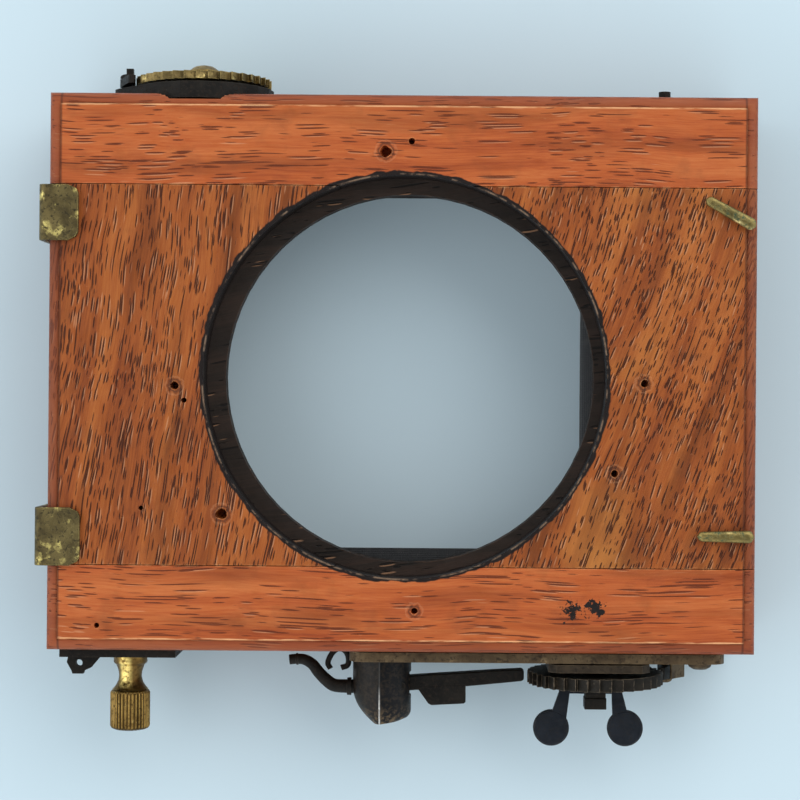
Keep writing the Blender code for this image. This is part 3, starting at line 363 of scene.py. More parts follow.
def rail_wood(name, seed, holes, spots=()):
    n, base, lines, fine = wood(
        name,
        0.0,
        ((0.26, 0.044, 0.012), (0.42, 0.094, 0.024), (0.54, 0.158, 0.046)),
        (0.115, 0.021, 0.007),
        13.0,
        0.50,
        0.46,
        seed,
        0.60,
    )
    base = paint_spots(n, hole_rings(n, base, holes), spots)
    return finish_wood(n, base, lines, fine, painted=True)


def centre_wood(name, lean, seed, clouds, length, spacing, holes):
    n, base, lines, fine = wood(
        name,
        lean,
        ((0.16, 0.034, 0.009), (0.30, 0.075, 0.016), (0.42, 0.130, 0.030)),
        (0.036, 0.007, 0.002),
        length,
        spacing,
        0.80,
        seed,
        0.80,
        clouds,
    )
    base = hole_rings(n, base, holes)
    return finish_wood(n, base, lines, fine, painted=True)


def wall_wood(name, lean, seed):
    n, base, lines, fine = wood(
        name,
        lean,
        ((0.20, 0.042, 0.014), (0.32, 0.075, 0.023), (0.42, 0.120, 0.038)),
        (0.08, 0.018, 0.008),
        9.0,
        0.8,
        0.4,
        seed,
        0.4,
    )
    return finish_wood(n, base, lines, fine)


def dark_wood(name, lean):
    n, base, lines, fine = wood(
        name,
        lean,
        ((0.012, 0.008, 0.006), (0.022, 0.014, 0.010), (0.040, 0.022, 0.015)),
        (0.006, 0.004, 0.003),
        6.0,
        0.8,
        0.4,
        4,
        0.3,
    )
    edge = n.both(n.edges(0.4, 0.05, 0.3), n.span(n.noise(n.place, 0.6, 3), 0.4, 0.6))
    base = n.mix(n.both(edge, 0.7), base, (0.11, 0.055, 0.03))
    height = n.calc("SUBTRACT", n.calc("MULTIPLY", fine, 0.4), lines)
    rough = n.span(n.noise(n.place, 0.5, 3), 0.3, 0.7, 0.6, 0.8)
    return n.finish(Base_Color=base, Roughness=rough, Normal=n.bump(height, 0.2, 0.7), Specular_IOR_Level=0.25)


def metal(name, tones, worn, spots, rough, metallic, edge_share, worn_patch, scale, pits, sheen=0.3):
    """Old metal: two tones, spots of dirt or verdigris, and worn bright edges."""
    n = Nodes(name)
    cloud = n.noise(n.place, 0.28 * scale, 4, 0.62, 0.4)
    base = n.ramp(cloud, (0.36, tones[0]), (0.64, tones[1]))
    speckle = n.noise(n.place, 1.5 * scale, 4, 0.7)
    base = n.mix(n.span(speckle, 0.52, 0.66, 0, 0.85), base, spots)
    edge = n.both(n.edges(0.22, 0.03, 0.22), n.span(n.noise(n.place, 1.1, 3), 0.35, 0.55))
    patch = n.span(n.noise(n.place, 0.33 * scale, 3, 0.55, 0.2), *worn_patch)
    rubbed = n.calc("MULTIPLY", patch, n.span(speckle, 0.62, 0.45))
    bright = n.calc("MAXIMUM", n.both(edge, edge_share), rubbed)
    base = n.mix(bright, base, worn)
    fine = n.noise(n.mapped(n.place, (3, 3, 3)), 1, 4, 0.7)
    dull = n.span(speckle, 0.3, 0.7, rough - 0.08, rough + 0.14)
    roughness = n.calc("SUBTRACT", dull, n.both(bright, 0.15))
    height = n.calc("ADD", n.calc("MULTIPLY", fine, 0.5), n.calc("MULTIPLY", n.span(speckle, 0.5, 0.64), -0.8))
    return n.finish(
        Base_Color=base,
        Roughness=roughness,
        Metallic=metallic,
        Normal=n.bump(height, pits, 0.8),
        Specular_IOR_Level=sheen,
    )


def lacquer(name, black, worn):
    n = Nodes(name)
    cloud = n.noise(n.place, 0.35, 4, 0.6)
    base = n.ramp(cloud, (0.4, black), (0.7, tuple(1.8 * c for c in black)))
    x, y, z = n.parts(n.place)
    outer = n.span(y, MIDDLE_Y - HALF_Y - 11.5, MIDDLE_Y - HALF_Y - 15.5)
    chips = n.span(n.noise(n.place, 1.3, 4, 0.65), 0.46, 0.6)
    brown = n.calc("MULTIPLY", n.calc("ADD", outer, 0.12), chips)
    # Painted light: the facet left of the ridge is tinted a lighter brown for the different light it reflects.
    left = n.span(x, MIDDLE_X + CUP_X - 0.3, MIDDLE_X + CUP_X - 1.0, 0, 0.45)
    base = n.mix(left, base, (0.020, 0.014, 0.009))
    edge = n.both(n.edges(0.25, 0.03, 0.2), n.span(n.noise(n.place, 1.0, 3), 0.4, 0.55))
    base = n.mix(n.calc("MAXIMUM", brown, n.both(edge, 0.8), clamp=True), base, worn)
    # Painted highlight: a thin bright broken line down the ridge, strongest towards the cup's outer end.
    ridge = n.gap(x, MIDDLE_X + CUP_X - 0.25)
    low = n.span(y, MIDDLE_Y - HALF_Y - 7.5, MIDDLE_Y - HALF_Y - 11.5, 0.08, 1.0)
    front = n.span(z, AXIS + 2.0, AXIS + 4.0)
    line = n.both(n.span(ridge, 0.20, 0.05), low, front, n.span(chips, 0, 1, 1.0, 0.5))
    base = n.mix(line, base, (0.62, 0.60, 0.56))
    rough = n.span(n.noise(n.place, 0.8, 4, 0.6), 0.35, 0.7, 0.34, 0.52)
    height = n.noise(n.place, 1.6, 4, 0.6)
    return n.finish(
        Base_Color=base, Roughness=rough, Normal=n.bump(height, 0.05, 0.6), Specular_IOR_Level=0.16
    )


def cloth(name):
    n = Nodes(name)
    warp = n.make("ShaderNodeTexWave", wave_type="BANDS", bands_direction="X")
    weft = n.make("ShaderNodeTexWave", wave_type="BANDS", bands_direction="Y")
    for wave in (warp, weft):
        n.put(wave.inputs["Vector"], n.place)
        wave.inputs["Scale"].default_value = 0.9
        wave.inputs["Distortion"].default_value = 0.4
    weave = n.calc("ADD", warp.outputs["Fac"], weft.outputs["Fac"])
    dust = n.noise(n.place, 0.6, 4, 0.65)
    base = n.mix(n.span(dust, 0.5, 0.75, 0, 0.5), (0.008, 0.008, 0.009), (0.032, 0.029, 0.026))
    return n.finish(
        Base_Color=base, Roughness=0.78, Sheen_Weight=0.15, Normal=n.bump(weave, 0.08, 0.6)
    )


PATINA = metal(
    "patinated_brass", ((0.080, 0.060, 0.026), (0.175, 0.132, 0.052)),
    worn=(0.74, 0.60, 0.20), spots=(0.028, 0.024, 0.014), rough=0.42, metallic=0.85,
    edge_share=0.9, worn_patch=(0.56, 0.66), scale=1.0, pits=0.10,
)
GREEN = metal(
    "verdigris_brass", ((0.15, 0.120, 0.045), (0.34, 0.25, 0.085)),
    worn=(0.86, 0.68, 0.30), spots=(0.050, 0.085, 0.050), rough=0.36, metallic=0.85,
    edge_share=0.9, worn_patch=(0.52, 0.66), scale=0.7, pits=0.05,
)
WORN = metal(
    "worn_brass", ((0.18, 0.105, 0.030), (0.42, 0.26, 0.075)),
    worn=(0.86, 0.62, 0.22), spots=(0.075, 0.042, 0.014), rough=0.34, metallic=0.95,
    edge_share=0.9, worn_patch=(0.58, 0.7), scale=0.9, pits=0.05,
)
WHEEL_BRASS = metal(
    "wheel_brass", ((0.115, 0.080, 0.030), (0.26, 0.185, 0.070)),
    worn=(0.58, 0.44, 0.17), spots=(0.050, 0.036, 0.018), rough=0.40, metallic=0.9,
    edge_share=0.9, worn_patch=(0.56, 0.7), scale=1.0, pits=0.06,
)
DULL = metal(
    "dull_brass", ((0.060, 0.038, 0.020), (0.130, 0.088, 0.046)),
    worn=(0.27, 0.19, 0.10), spots=(0.024, 0.016, 0.010), rough=0.50, metallic=0.6,
    edge_share=0.6, worn_patch=(0.6, 0.74), scale=0.8, pits=0.06,
)
BLACK = metal(
    "blackened_metal", ((0.006, 0.005, 0.004), (0.015, 0.012, 0.009)),
    worn=(0.085, 0.066, 0.048), spots=(0.024, 0.016, 0.011), rough=0.52, metallic=0.10,
    edge_share=0.55, worn_patch=(0.68, 0.8), scale=1.0, pits=0.05, sheen=0.16,
)
BLUE_BLACK = metal(
    "blued_steel", ((0.006, 0.008, 0.012), (0.012, 0.015, 0.021)),
    worn=(0.085, 0.080, 0.080), spots=(0.012, 0.011, 0.012), rough=0.45, metallic=0.10,
    edge_share=0.6, worn_patch=(0.7, 0.8), scale=1.0, pits=0.04, sheen=0.2,
)
TOOTH_BLACK = metal(
    "toothed_metal", ((0.007, 0.006, 0.004), (0.020, 0.015, 0.010)),
    worn=(0.24, 0.18, 0.12), spots=(0.016, 0.011, 0.008), rough=0.50, metallic=0.15,
    edge_share=1.0, worn_patch=(0.62, 0.76), scale=1.0, pits=0.05, sheen=0.18,
)
BRIDGE = metal(
    "dark_bridge_brass", ((0.020, 0.014, 0.009), (0.050, 0.035, 0.021)),
    worn=(0.20, 0.14, 0.08), spots=(0.012, 0.008, 0.005), rough=0.50, metallic=0.35,
    edge_share=0.7, worn_patch=(0.62, 0.76), scale=0.8, pits=0.06, sheen=0.2,
)
STEEL = metal(
    "old_steel", ((0.16, 0.155, 0.145), (0.30, 0.29, 0.27)),
    worn=(0.55, 0.54, 0.52), spots=(0.10, 0.065, 0.04), rough=0.38, metallic=0.9,
    edge_share=0.8, worn_patch=(0.6, 0.74), scale=1.0, pits=0.04,
)


def knob_brass(name):
    """Brass with dirt between the ribs of the head, a painted highlight down the middle of the neck and painted
    shade on the neck's sides.
    """
    made = metal(
        name,
        ((0.20, 0.115, 0.030), (0.40, 0.245, 0.068)),
        (0.90, 0.64, 0.22),
        (0.060, 0.034, 0.012),
        0.34,
        0.95,
        0.8,
        (0.60, 0.72),
        0.9,
        0.04,
    )
    n = Nodes(made)
    x, y, z = n.parts(n.place)
    dx = n.calc("SUBTRACT", x, MIDDLE_X + KNOB_X)
    dz = n.calc("SUBTRACT", z, AXIS)
    reach = n.length(dx, dz)
    side = MIDDLE_Y - HALF_Y
    on_head = n.span(y, side - 9.5, side - 9.9)
    groove = n.calc("MULTIPLY", n.span(reach, 3.82, 3.64), on_head)
    base = n.mix(n.calc("MULTIPLY", groove, 0.85), n.source("Base Color"), (0.040, 0.022, 0.008))
    # Painted highlight: a bright band down the middle of the neck, broken up by noise.
    ragged = n.noise(n.place, 0.9, 3, 0.55)
    on_neck = n.calc("MULTIPLY", n.span(y, side - 9.0, side - 8.2), n.span(y, side - 2.4, side - 3.2))
    middle = n.span(n.calc("ABSOLUTE", n.calc("ADD", dx, 0.55)), 1.5, 0.5)
    rubbed = n.both(on_neck, middle, n.span(ragged, 0.36, 0.5))
    base = n.mix(rubbed, base, (1.0, 0.74, 0.24))
    # Painted shade: the neck darker towards its sides.
    dull = n.calc("MULTIPLY", on_neck, n.span(middle, 0.7, 0.0, 0, 0.7))
    base = n.mix(dull, base, (0.10, 0.055, 0.018))
    return n.finish(Base_Color=base)


KNOB = knob_brass("knob_brass")
LACQUER = lacquer("black_lacquer", (0.0035, 0.0035, 0.0042), (0.13, 0.085, 0.045))
CLOTH = cloth("rubbered_cloth")
RAIL_TOP = rail_wood("rail_mahogany_top", 1, ((-3.4, 41.7, 1.05),))
RAIL_BOTTOM = rail_wood(
    "rail_mahogany_bottom", 2, ((2.6, -44.6, 0.6),), ((32.0, -44.3, 1.6), (36.6, -43.7, 1.7))
)
CENTRE_LEFT = centre_wood(
    "centre_mahogany_left", 82.0, 3, None, 8.0, 0.50, ((-42.7, -2.6, 0.75), (-33.7, -26.6, 1.05))
)
CENTRE_RIGHT = centre_wood(
    "centre_mahogany_right", 71.0, 5, (0.46, 0.170, 0.038), 5.0, 0.50, ((40.0, -18.5, 0.7), (45.4, -1.6, 0.7))
)
WALL_X = wall_wood("wall_mahogany_long", 0.0, 6)
WALL_Y = wall_wood("wall_mahogany_short", 90.0, 7)
DARK = dark_wood("blackened_wood", 8.0)


# Shapes


def loose(name, shape, finish, smooth):
    """An object made from a bmesh or a mesh, smooth up to an angle in degrees."""
    mesh = shape if isinstance(shape, bpy.types.Mesh) else mesh_of(name, shape)
    made = bpy.data.objects.new(name, mesh)
    bpy.context.scene.collection.objects.link(made)
    mesh.materials.append(finish)
    mesh.shade_smooth()
    mesh.set_sharp_from_angle(angle=math.radians(smooth))
    return made


def piece(name, shape, finish, body, node, smooth):
    """A detailed piece on a body, in place of a CAD node."""
    made = loose(name, shape, finish, smooth)
    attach(made, body)
    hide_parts(node)
    return made


def mesh_of(name, shape):
    bmesh.ops.recalc_face_normals(shape, faces=shape.faces)
    mesh = bpy.data.meshes.new(name)
    shape.to_mesh(mesh)
    shape.free()
    return mesh


def bevel(made, width, segments=2, angle=30):
    step = made.modifiers.new("rounded edges", "BEVEL")
    step.width = width * MM
    step.segments = segments
    step.limit_method = "ANGLE"
    step.angle_limit = math.radians(angle)
    step.harden_normals = False
    return made


def arc(centre, radius, start, end, steps):
    angles = [math.radians(start + (end - start) * i / steps) for i in range(steps + 1)]
    return [(centre[0] + radius * math.cos(a), centre[1] + radius * math.sin(a)) for a in angles]


def loft(shape, rings, capped=True):
    """Joins closed rings of vertices into a skin, with a face over each end."""
    for first, second in zip(rings, rings[1:]):
        count = len(first)
        for i in range(count):
            j = (i + 1) % count
            shape.faces.new((first[i], first[j], second[j], second[i]))
    if capped:
        shape.faces.new(rings[0][::-1])
        shape.faces.new(rings[-1])


def prism(shape, outline, low, high, frame_of):
    """Adds the solid of an outline between two heights. It returns the low and the high ring."""
    rings = []
    for height in (low, high):
        rings.append([shape.verts.new(frame_of((x, y, height))) for x, y in outline])
    count = len(outline)
    shape.faces.new(rings[0][::-1])
    shape.faces.new(rings[1])
    for i in range(count):
        j = (i + 1) % count
        shape.faces.new((rings[0][i], rings[0][j], rings[1][j], rings[1][i]))
    return rings


def with_holes(name, outline, holes, low, high, frame_of):
    """The mesh of a flat piece with holes."""
    curve = bpy.data.curves.new(name, "CURVE")
    curve.dimensions = "2D"
    curve.fill_mode = "BOTH"
    curve.extrude = (high - low) / 2
    for loop in (outline, *holes):
        spline = curve.splines.new("POLY")
        spline.points.add(len(loop) - 1)
        for point, (x, y) in zip(spline.points, loop):
            point.co = (x, y, 0, 1)
        spline.use_cyclic_u = True
    drawn = bpy.data.objects.new(name + "_outline", curve)
    bpy.context.scene.collection.objects.link(drawn)
    graph = bpy.context.evaluated_depsgraph_get()
    mesh = bpy.data.meshes.new_from_object(drawn.evaluated_get(graph))
    bpy.data.objects.remove(drawn)
    bpy.data.curves.remove(curve)
    shape = bmesh.new()
    shape.from_mesh(mesh)
    bpy.data.meshes.remove(mesh)
    bmesh.ops.remove_doubles(shape, verts=shape.verts, dist=0.001)
    for vertex in shape.verts:
        x, y, z = vertex.co
        vertex.co = frame_of((x, y, z + (low + high) / 2))
    bmesh.ops.dissolve_limit(shape, angle_limit=0.001, verts=shape.verts, edges=shape.edges)
    bmesh.ops.recalc_face_normals(shape, faces=shape.faces)
    bmesh.ops.triangulate(shape, faces=[f for f in shape.faces if len(f.verts) > 4])
    return mesh_of(name, shape)


def cutter_for(target, name, shape):
    """An object that is cut out of target when settle() runs."""
    cutter = bpy.data.objects.new(name, mesh_of(name, shape))
    bpy.context.scene.collection.objects.link(cutter)
    step = target.modifiers.new(name, "BOOLEAN")
    step.operation = "DIFFERENCE"
    step.solver = "EXACT"
    step.object = cutter
    return cutter


def settle(target, cutters):
    """Applies target's modifiers, so that the cutters can go."""
    graph = bpy.context.evaluated_depsgraph_get()
    mesh = bpy.data.meshes.new_from_object(target.evaluated_get(graph))
    target.modifiers.clear()
    old = target.data
    target.data = mesh
    bpy.data.meshes.remove(old)
    for cutter in cutters:
        data = cutter.data
        bpy.data.objects.remove(cutter)
        bpy.data.meshes.remove(data)


def lathe(shape, profile, centre, frame_of, segments=48):
    """Adds a solid turned about an axis through centre, from a profile of (radius, height) that starts
    and ends on the axis or closes on itself."""
    rings = []
    for radius, height in profile:
        if radius < 0.0001:
            rings.append([shape.verts.new(frame_of((centre[0], centre[1], height)))])
            continue
        ring = []
        for i in range(segments):
            angle = math.tau * i / segments
            x = centre[0] + radius * math.cos(angle)
            y = centre[1] + radius * math.sin(angle)
            ring.append(shape.verts.new(frame_of((x, y, height))))
        rings.append(ring)
    closed = len(rings[0]) > 1
    pairs = list(zip(rings, rings[1:]))
    if closed:
        pairs.append((rings[-1], rings[0]))
    for first, second in pairs:
        for i in range(segments):
            j = (i + 1) % segments
            if len(first) == 1:
                shape.faces.new((first[0], second[i], second[j]))
            elif len(second) == 1:
                shape.faces.new((first[i], first[j], second[0]))
            else:
                shape.faces.new((first[i], first[j], second[j], second[i]))
    return rings


def tube(shape, points, radii, sides=16, flat=1.0):
    """Adds a tube through the world points, which a smooth curve joins."""
    fine, widths = [], []
    last = len(points) - 1
    for i in range(last):
        a, b = points[i], points[i + 1]
        before = points[i - 1] if i else a + (a - b)
        after = points[i + 2] if i + 2 <= last else b + (b - a)
        for step in range(6):
            t = step / 6
            point = 0.5 * (
                2 * a
                + (b - before) * t
                + (2 * before - 5 * a + 4 * b - after) * t**2
                + (3 * a - before - 3 * b + after) * t**3
            )
            fine.append(point)
            widths.append(radii[i] + (radii[i + 1] - radii[i]) * t)
    fine.append(points[-1])
    widths.append(radii[-1])
    up = Vector((0, 0, 1))
    rings = []
    for i, point in enumerate(fine):
        ahead = fine[min(i + 1, len(fine) - 1)] - fine[max(i - 1, 0)]
        side = ahead.cross(up)
        if side.length < 1e-9:
            side = Vector((1, 0, 0))
        side.normalize()
        over = side.cross(ahead).normalized()
        ring = []
        for k in range(sides):
            angle = math.tau * k / sides
            reach = side * math.cos(angle) + over * (math.sin(angle) * flat)
            ring.append(shape.verts.new(point + reach * widths[i] * MM))
        rings.append(ring)
    loft(shape, rings)


def bar_outline(length, start, end, steps=8):
    lean = math.degrees(math.acos((start - end) / length))
    return arc((0, 0), start, lean, 360 - lean, 2 * steps) + arc((length, 0), end, -lean, lean, steps)


def turned_outline(outline, angle, centre):
    c, s = math.cos(math.radians(angle)), math.sin(math.radians(angle))
    return [(centre[0] + x * c - y * s, centre[1] + x * s + y * c) for x, y in outline]


# Lens panel: flat boards with a moulded edge and the painted rim of the opening

MOULD = 2.25
MOULD_PROFILE = (
    (MOULD + 0.02, PANEL_REAR),
    (0.0, PANEL_REAR),
    (0.0, 27.95),
    (0.05, 28.35),
    (0.2, 28.75),
    (0.45, 29.1),
    (0.8, 29.36),
    (1.25, 29.53),
    (1.7, 29.6),
    (2.05, 29.6),
    (2.2, 29.52),
    (MOULD + 0.02, 29.5),
)


RIM_ROUND = 0.75
POCKET_DEPTH = 1.15
POCKET_RADIUS = 15.15


def pocket_height(x):
    """How far forward the tension plate's pocket reaches in the top side's wood."""
    across = x - SPRING_X
    if abs(across) >= POCKET_RADIUS:
        return 0.0
    return AXIS + math.sqrt(POCKET_RADIUS**2 - across**2)


def moulding(shape, path):
    """Adds the moulded edge along a path of board corners, the board's inside to its right."""
    rings = []
    for i, (x, y) in enumerate(path):
        steps = []
        for a, b in ((i - 1, i), (i, i + 1)):
            if a < 0 or b >= len(path):
                continue
            dx, dy = path[b][0] - path[a][0], path[b][1] - path[a][1]
            size = math.hypot(dx, dy)
            steps.append((dy / size, -dx / size))
        if len(steps) == 2 and abs(steps[0][0] - steps[1][0]) + abs(steps[0][1] - steps[1][1]) < 0.001:
            steps = steps[:1]
        inward = (sum(step[0] for step in steps), sum(step[1] for step in steps))
        cut = pocket_height(x) if y > HALF_Y - 0.01 else 0.0
        ring = []
        for r, z in MOULD_PROFILE:
            if z < cut and r < POCKET_DEPTH:
                r = POCKET_DEPTH
            ring.append(shape.verts.new(place(x + inward[0] * r, y + inward[1] * r, z)))
        rings.append(ring)
    loft(shape, rings)


def rim_arc(y_cut, above, steps=72):
    """Points of the opening's edge beyond a joint line, from left to right or right to left."""
    reach = math.degrees(math.asin((y_cut - HOLE_Y) / HOLE_R))
    if above:
        return arc((HOLE_X, HOLE_Y), HOLE_R, reach, 180 - reach, steps)
    return arc((HOLE_X, HOLE_Y), HOLE_R, 180 - reach, 360 + reach, steps)


def board(name, outline, node, finish, path, pits):
    """A board of the lens panel: its flat field with a rounded rim, its moulded edge and its old screw
    holes."""
    shape = bmesh.new()
    _, high = prism(shape, outline, PANEL_REAR, FRONT, from_board)
    on_rim = []
    for a, b in zip(high, high[1:] + high[:1]):
        middle = (a.co + b.co) / 2 - place(HOLE_X, HOLE_Y, 0)
        if math.hypot(middle.x, middle.y) < (HOLE_R + 0.2) * MM:
            on_rim.append(shape.edges.get((a, b)))
    bmesh.ops.bevel(
        shape, geom=on_rim, offset=RIM_ROUND * MM, segments=4, profile=0.5, affect="EDGES", clamp_overlap=True
    )
    made = piece(name, shape, finish, "root", node, 30)
    settle(made, [pit(f"{name}_hole_{i + 1}", made, *at) for i, at in enumerate(pits)])
    shape = bmesh.new()
    shape.from_mesh(made.data)
    moulding(shape, path)
    edge = mesh_of(made.name + "_edge", shape)
    old = made.data
    edge.materials.append(old.materials[0])
    edge.shade_smooth()
    edge.set_sharp_from_angle(angle=math.radians(30))
    made.data = edge
    bpy.data.meshes.remove(old)


def pit(name, target, x, y, radius):
    """Bores an old screw hole with a slightly ragged edge."""
    shape = bmesh.new()
    profile = ((0, -3.6), (radius * 0.8, -2.8), (radius, -0.3), (radius * 1.12, 0.4), (0, 0.4))
    rings = lathe(shape, [(r, FRONT + z) for r, z in profile], (x, y), from_board, 20)
    for ring in rings:
        for vertex in ring:
            away = vertex.co - place(x, y, 0)
            away.z = 0
            vertex.co += away * 0.35 * noise.noise(vertex.co * 900)
    return cutter_for(target, name, shape)


def lens_panel():
    gap = 0.07
    left, right = -HALF_X, HALF_X
    inset = MOULD
    pocket_stations = [(SPRING_X + 0.4 * i, HALF_Y) for i in range(-40, 41)]
    rim_top = rim_arc(TOP_JOINT + gap, True, 48)
    top = [(left + inset, HALF_Y - inset), (left + inset, TOP_JOINT + gap), *rim_top[::-1]]
    top += [(right - inset, TOP_JOINT + gap), (right - inset, HALF_Y - inset)]
    board(
        "panel_rail_top",
        top[::-1],
        "panel_top_rail",
        RAIL_TOP,
        [(left, TOP_JOINT + gap), (left, HALF_Y), *pocket_stations, (right, HALF_Y), (right, TOP_JOINT + gap)],
        [(-3.4, 41.7, 1.05), (1.5, 43.6, 0.6)],
    )
    rim_low = rim_arc(BOTTOM_JOINT - gap, False, 48)
    bottom = [(right - inset, -HALF_Y + inset), (right - inset, BOTTOM_JOINT - gap)]
    bottom += [p for p in rim_low[::-1] if p[1] < BOTTOM_JOINT - gap + 0.01]
    bottom += [(left + inset, BOTTOM_JOINT - gap), (left + inset, -HALF_Y + inset)]
    board(
        "panel_rail_bottom",
        bottom,
        "panel_bottom_rail",
        RAIL_BOTTOM,
        [(right, BOTTOM_JOINT - gap), (right, -HALF_Y), (left, -HALF_Y), (left, BOTTOM_JOINT - gap)],
        [(2.6, -44.6, 0.6), (-57.0, -47.7, 0.5)],
    )
    reach_top = math.degrees(math.asin((TOP_JOINT - gap - HOLE_Y) / HOLE_R))
    reach_low = math.degrees(math.asin((BOTTOM_JOINT + gap - HOLE_Y) / HOLE_R))
    left_rim = arc((HOLE_X, HOLE_Y), HOLE_R, 180 - reach_top, 180 - reach_low, 96)
    board(
        "panel_board_left",
        [(left + inset, TOP_JOINT - gap), (left + inset, BOTTOM_JOINT + gap), *left_rim[::-1]],
        "panel_centre_left",
        CENTRE_LEFT,
        [(left, BOTTOM_JOINT + gap), (left, TOP_JOINT - gap)],
        [(-42.7, -2.6, 0.75), (-40.9, -5.3, 0.5), (-33.7, -26.6, 1.05), (-48.8, -25.6, 0.45)],
    )
    right_rim = arc((HOLE_X, HOLE_Y), HOLE_R, reach_low, reach_top, 96)
    board(
        "panel_board_right",
        [(right - inset, BOTTOM_JOINT + gap), (right - inset, TOP_JOINT - gap), *right_rim[::-1]],
        "panel_centre_right",
        CENTRE_RIGHT,
        [(right, TOP_JOINT - gap), (right, BOTTOM_JOINT + gap)],
        [(40.0, -18.5, 0.7), (45.4, -1.6, 0.7)],
    )


lens_panel()

for node, finish in (
    ("rear_board", DARK),
    ("inner_front_board", DARK),
    ("top_wall", WALL_X),
    ("bottom_wall", WALL_X),
    ("left_wall", WALL_Y),
    ("right_wall", WALL_Y),
):
    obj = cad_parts[node]
    for slot in obj.material_slots:
        slot.material = finish
    if finish is not DARK:
        bevel(obj, 0.35, 3, 40)


# Brake knob on its screw


def knob():
    foot = 2.0
    shape = bmesh.new()
    neck = [
        (0.0, -5.7),
        (1.0, -5.7),
        (1.0, foot),
        (3.1, foot),
        (3.25, foot + 0.15),
        (3.25, foot + 1.9),
        (3.1, foot + 2.15),
        (2.75, foot + 2.4),
    ]
    for i in range(9):
        share = i / 8
        if share < 0.45:
            waist = 2.2 + 0.55 * (2 * share - 0.9) ** 2
        else:
            waist = 2.2 + 1.05 * ((share - 0.45) / 0.55) ** 2
        neck.append((waist, foot + 2.7 + share * 4.3))
    top = foot + 7.3
    neck += [(3.45, top - 0.12), (0.0, top - 0.12)]
    lathe(shape, neck, (KNOB_X, 0), from_bottom, 48)
    ribs = 34
    head = 7.5
    heights = ((0.0, 3.5), (0.25, 3.78), (0.6, 3.85), (head - 0.5, 3.85), (head - 0.1, 3.7), (head + 0.15, 3.2))
    rings = []
    for height, radius in heights:
        ring = []
        for i in range(6 * ribs):
            angle = math.tau * i / (6 * ribs)
            groove = 0.26 * (0.5 - 0.5 * math.cos(ribs * angle)) ** 1.5 if 0.5 < height < head - 0.2 else 0.1
            worn = 0.06 * noise.noise(Vector((math.cos(angle) * 2, math.sin(angle) * 2, height * 0.3)))
            reach = radius - groove + worn
            ring.append(
                shape.verts.new(
                    from_bottom((KNOB_X + reach * math.cos(angle), reach * math.sin(angle), top + height))
                )
            )
        rings.append(ring)
    count = 6 * ribs
    for first, second in zip(rings, rings[1:]):
        for i in range(count):
            j = (i + 1) % count
            shape.faces.new((first[i], first[j], second[j], second[i]))
    shape.faces.new(rings[0][::-1])
    dome = [(2.2, head + 0.33), (1.0, head + 0.42)]
    for radius, height in dome:
        ring = []
        for i in range(count):
            angle = math.tau * i / count
            ring.append(
                shape.verts.new(
                    from_bottom((KNOB_X + radius * math.cos(angle), radius * math.sin(angle), top + height))
                )
            )
        for i in range(count):
            j = (i + 1) % count
            shape.faces.new((rings[-1][i], rings[-1][j], ring[j], ring[i]))
        rings.append(ring)
    shape.faces.new(rings[-1])
    piece("brake_knob_turned", shape, KNOB, "brake_knob", "tension_brake_knob", 40)


knob()


# Release: cup, lever, nipple

LEVER_PIVOT = (CUP_X + 4.1, 7.7)


def release_cup():
    """The pressed cup: its left side tapers to the outer end, its right side is straight and then
    rounded, and a ridge runs between them."""
    levels = 26
    sides = 40
    foot, crown = 2.4, 15.2
    shape = bmesh.new()
    rings = []
    for level in range(levels + 1):
        share = level / levels
        height = foot + (crown - foot) * share
        taper = max(0.0, (share - 0.46) / 0.54)
        left = CUP_X - 5.6 + 4.15 * taper**2.0
        round_off = max(0.0, (share - 0.84) / 0.16)
        right = CUP_X + 5.75 - 1.9 * (1 - math.sqrt(max(0.0, 1 - round_off**2.2)))
        depth = 5.6 * (1 - 0.30 * taper**3)
        ridge = CUP_X - 0.25
        ring = []
        for i in range(sides):
            angle = math.tau * i / sides
            c, s = math.cos(angle), math.sin(angle)
            x = ridge + (right - ridge) * c if c > 0 else ridge + (ridge - left) * c
            bulge = 1 + 0.035 * math.exp(-((c / 0.12) ** 2))
            y = depth * s * bulge * (1 - 0.10 * max(0.0, -c))
            slope = 0.65 * share**3 * (x - CUP_X) / 5.6
            ring.append(shape.verts.new(from_bottom((x, y, height - slope))))
        rings.append(ring)
    loft(shape, rings)
    made = piece("release_cup", shape, LACQUER, "root", "release_cylinder", 28)
    bevel(made, 0.35, 3, 35)
    return made


def lever_opening(cup):
    """Cuts the slot that the lever comes out of, wide enough for its swing."""
    shape = bmesh.new()
    near, far = LEVER_PIVOT[0] - 0.6, CUP_X + 7
    low, high = LEVER_PIVOT[1] - 2.4, LEVER_PIVOT[1] + 2.2
    outline = [(near, low), (far, low), (far, high), (near, high)]
    prism(shape, outline, -1.8, 1.8, lambda p: from_bottom((p[0], p[2], p[1])))
    settle(cup, [cutter_for(cup, "lever_opening", shape)])


lever_opening(release_cup())


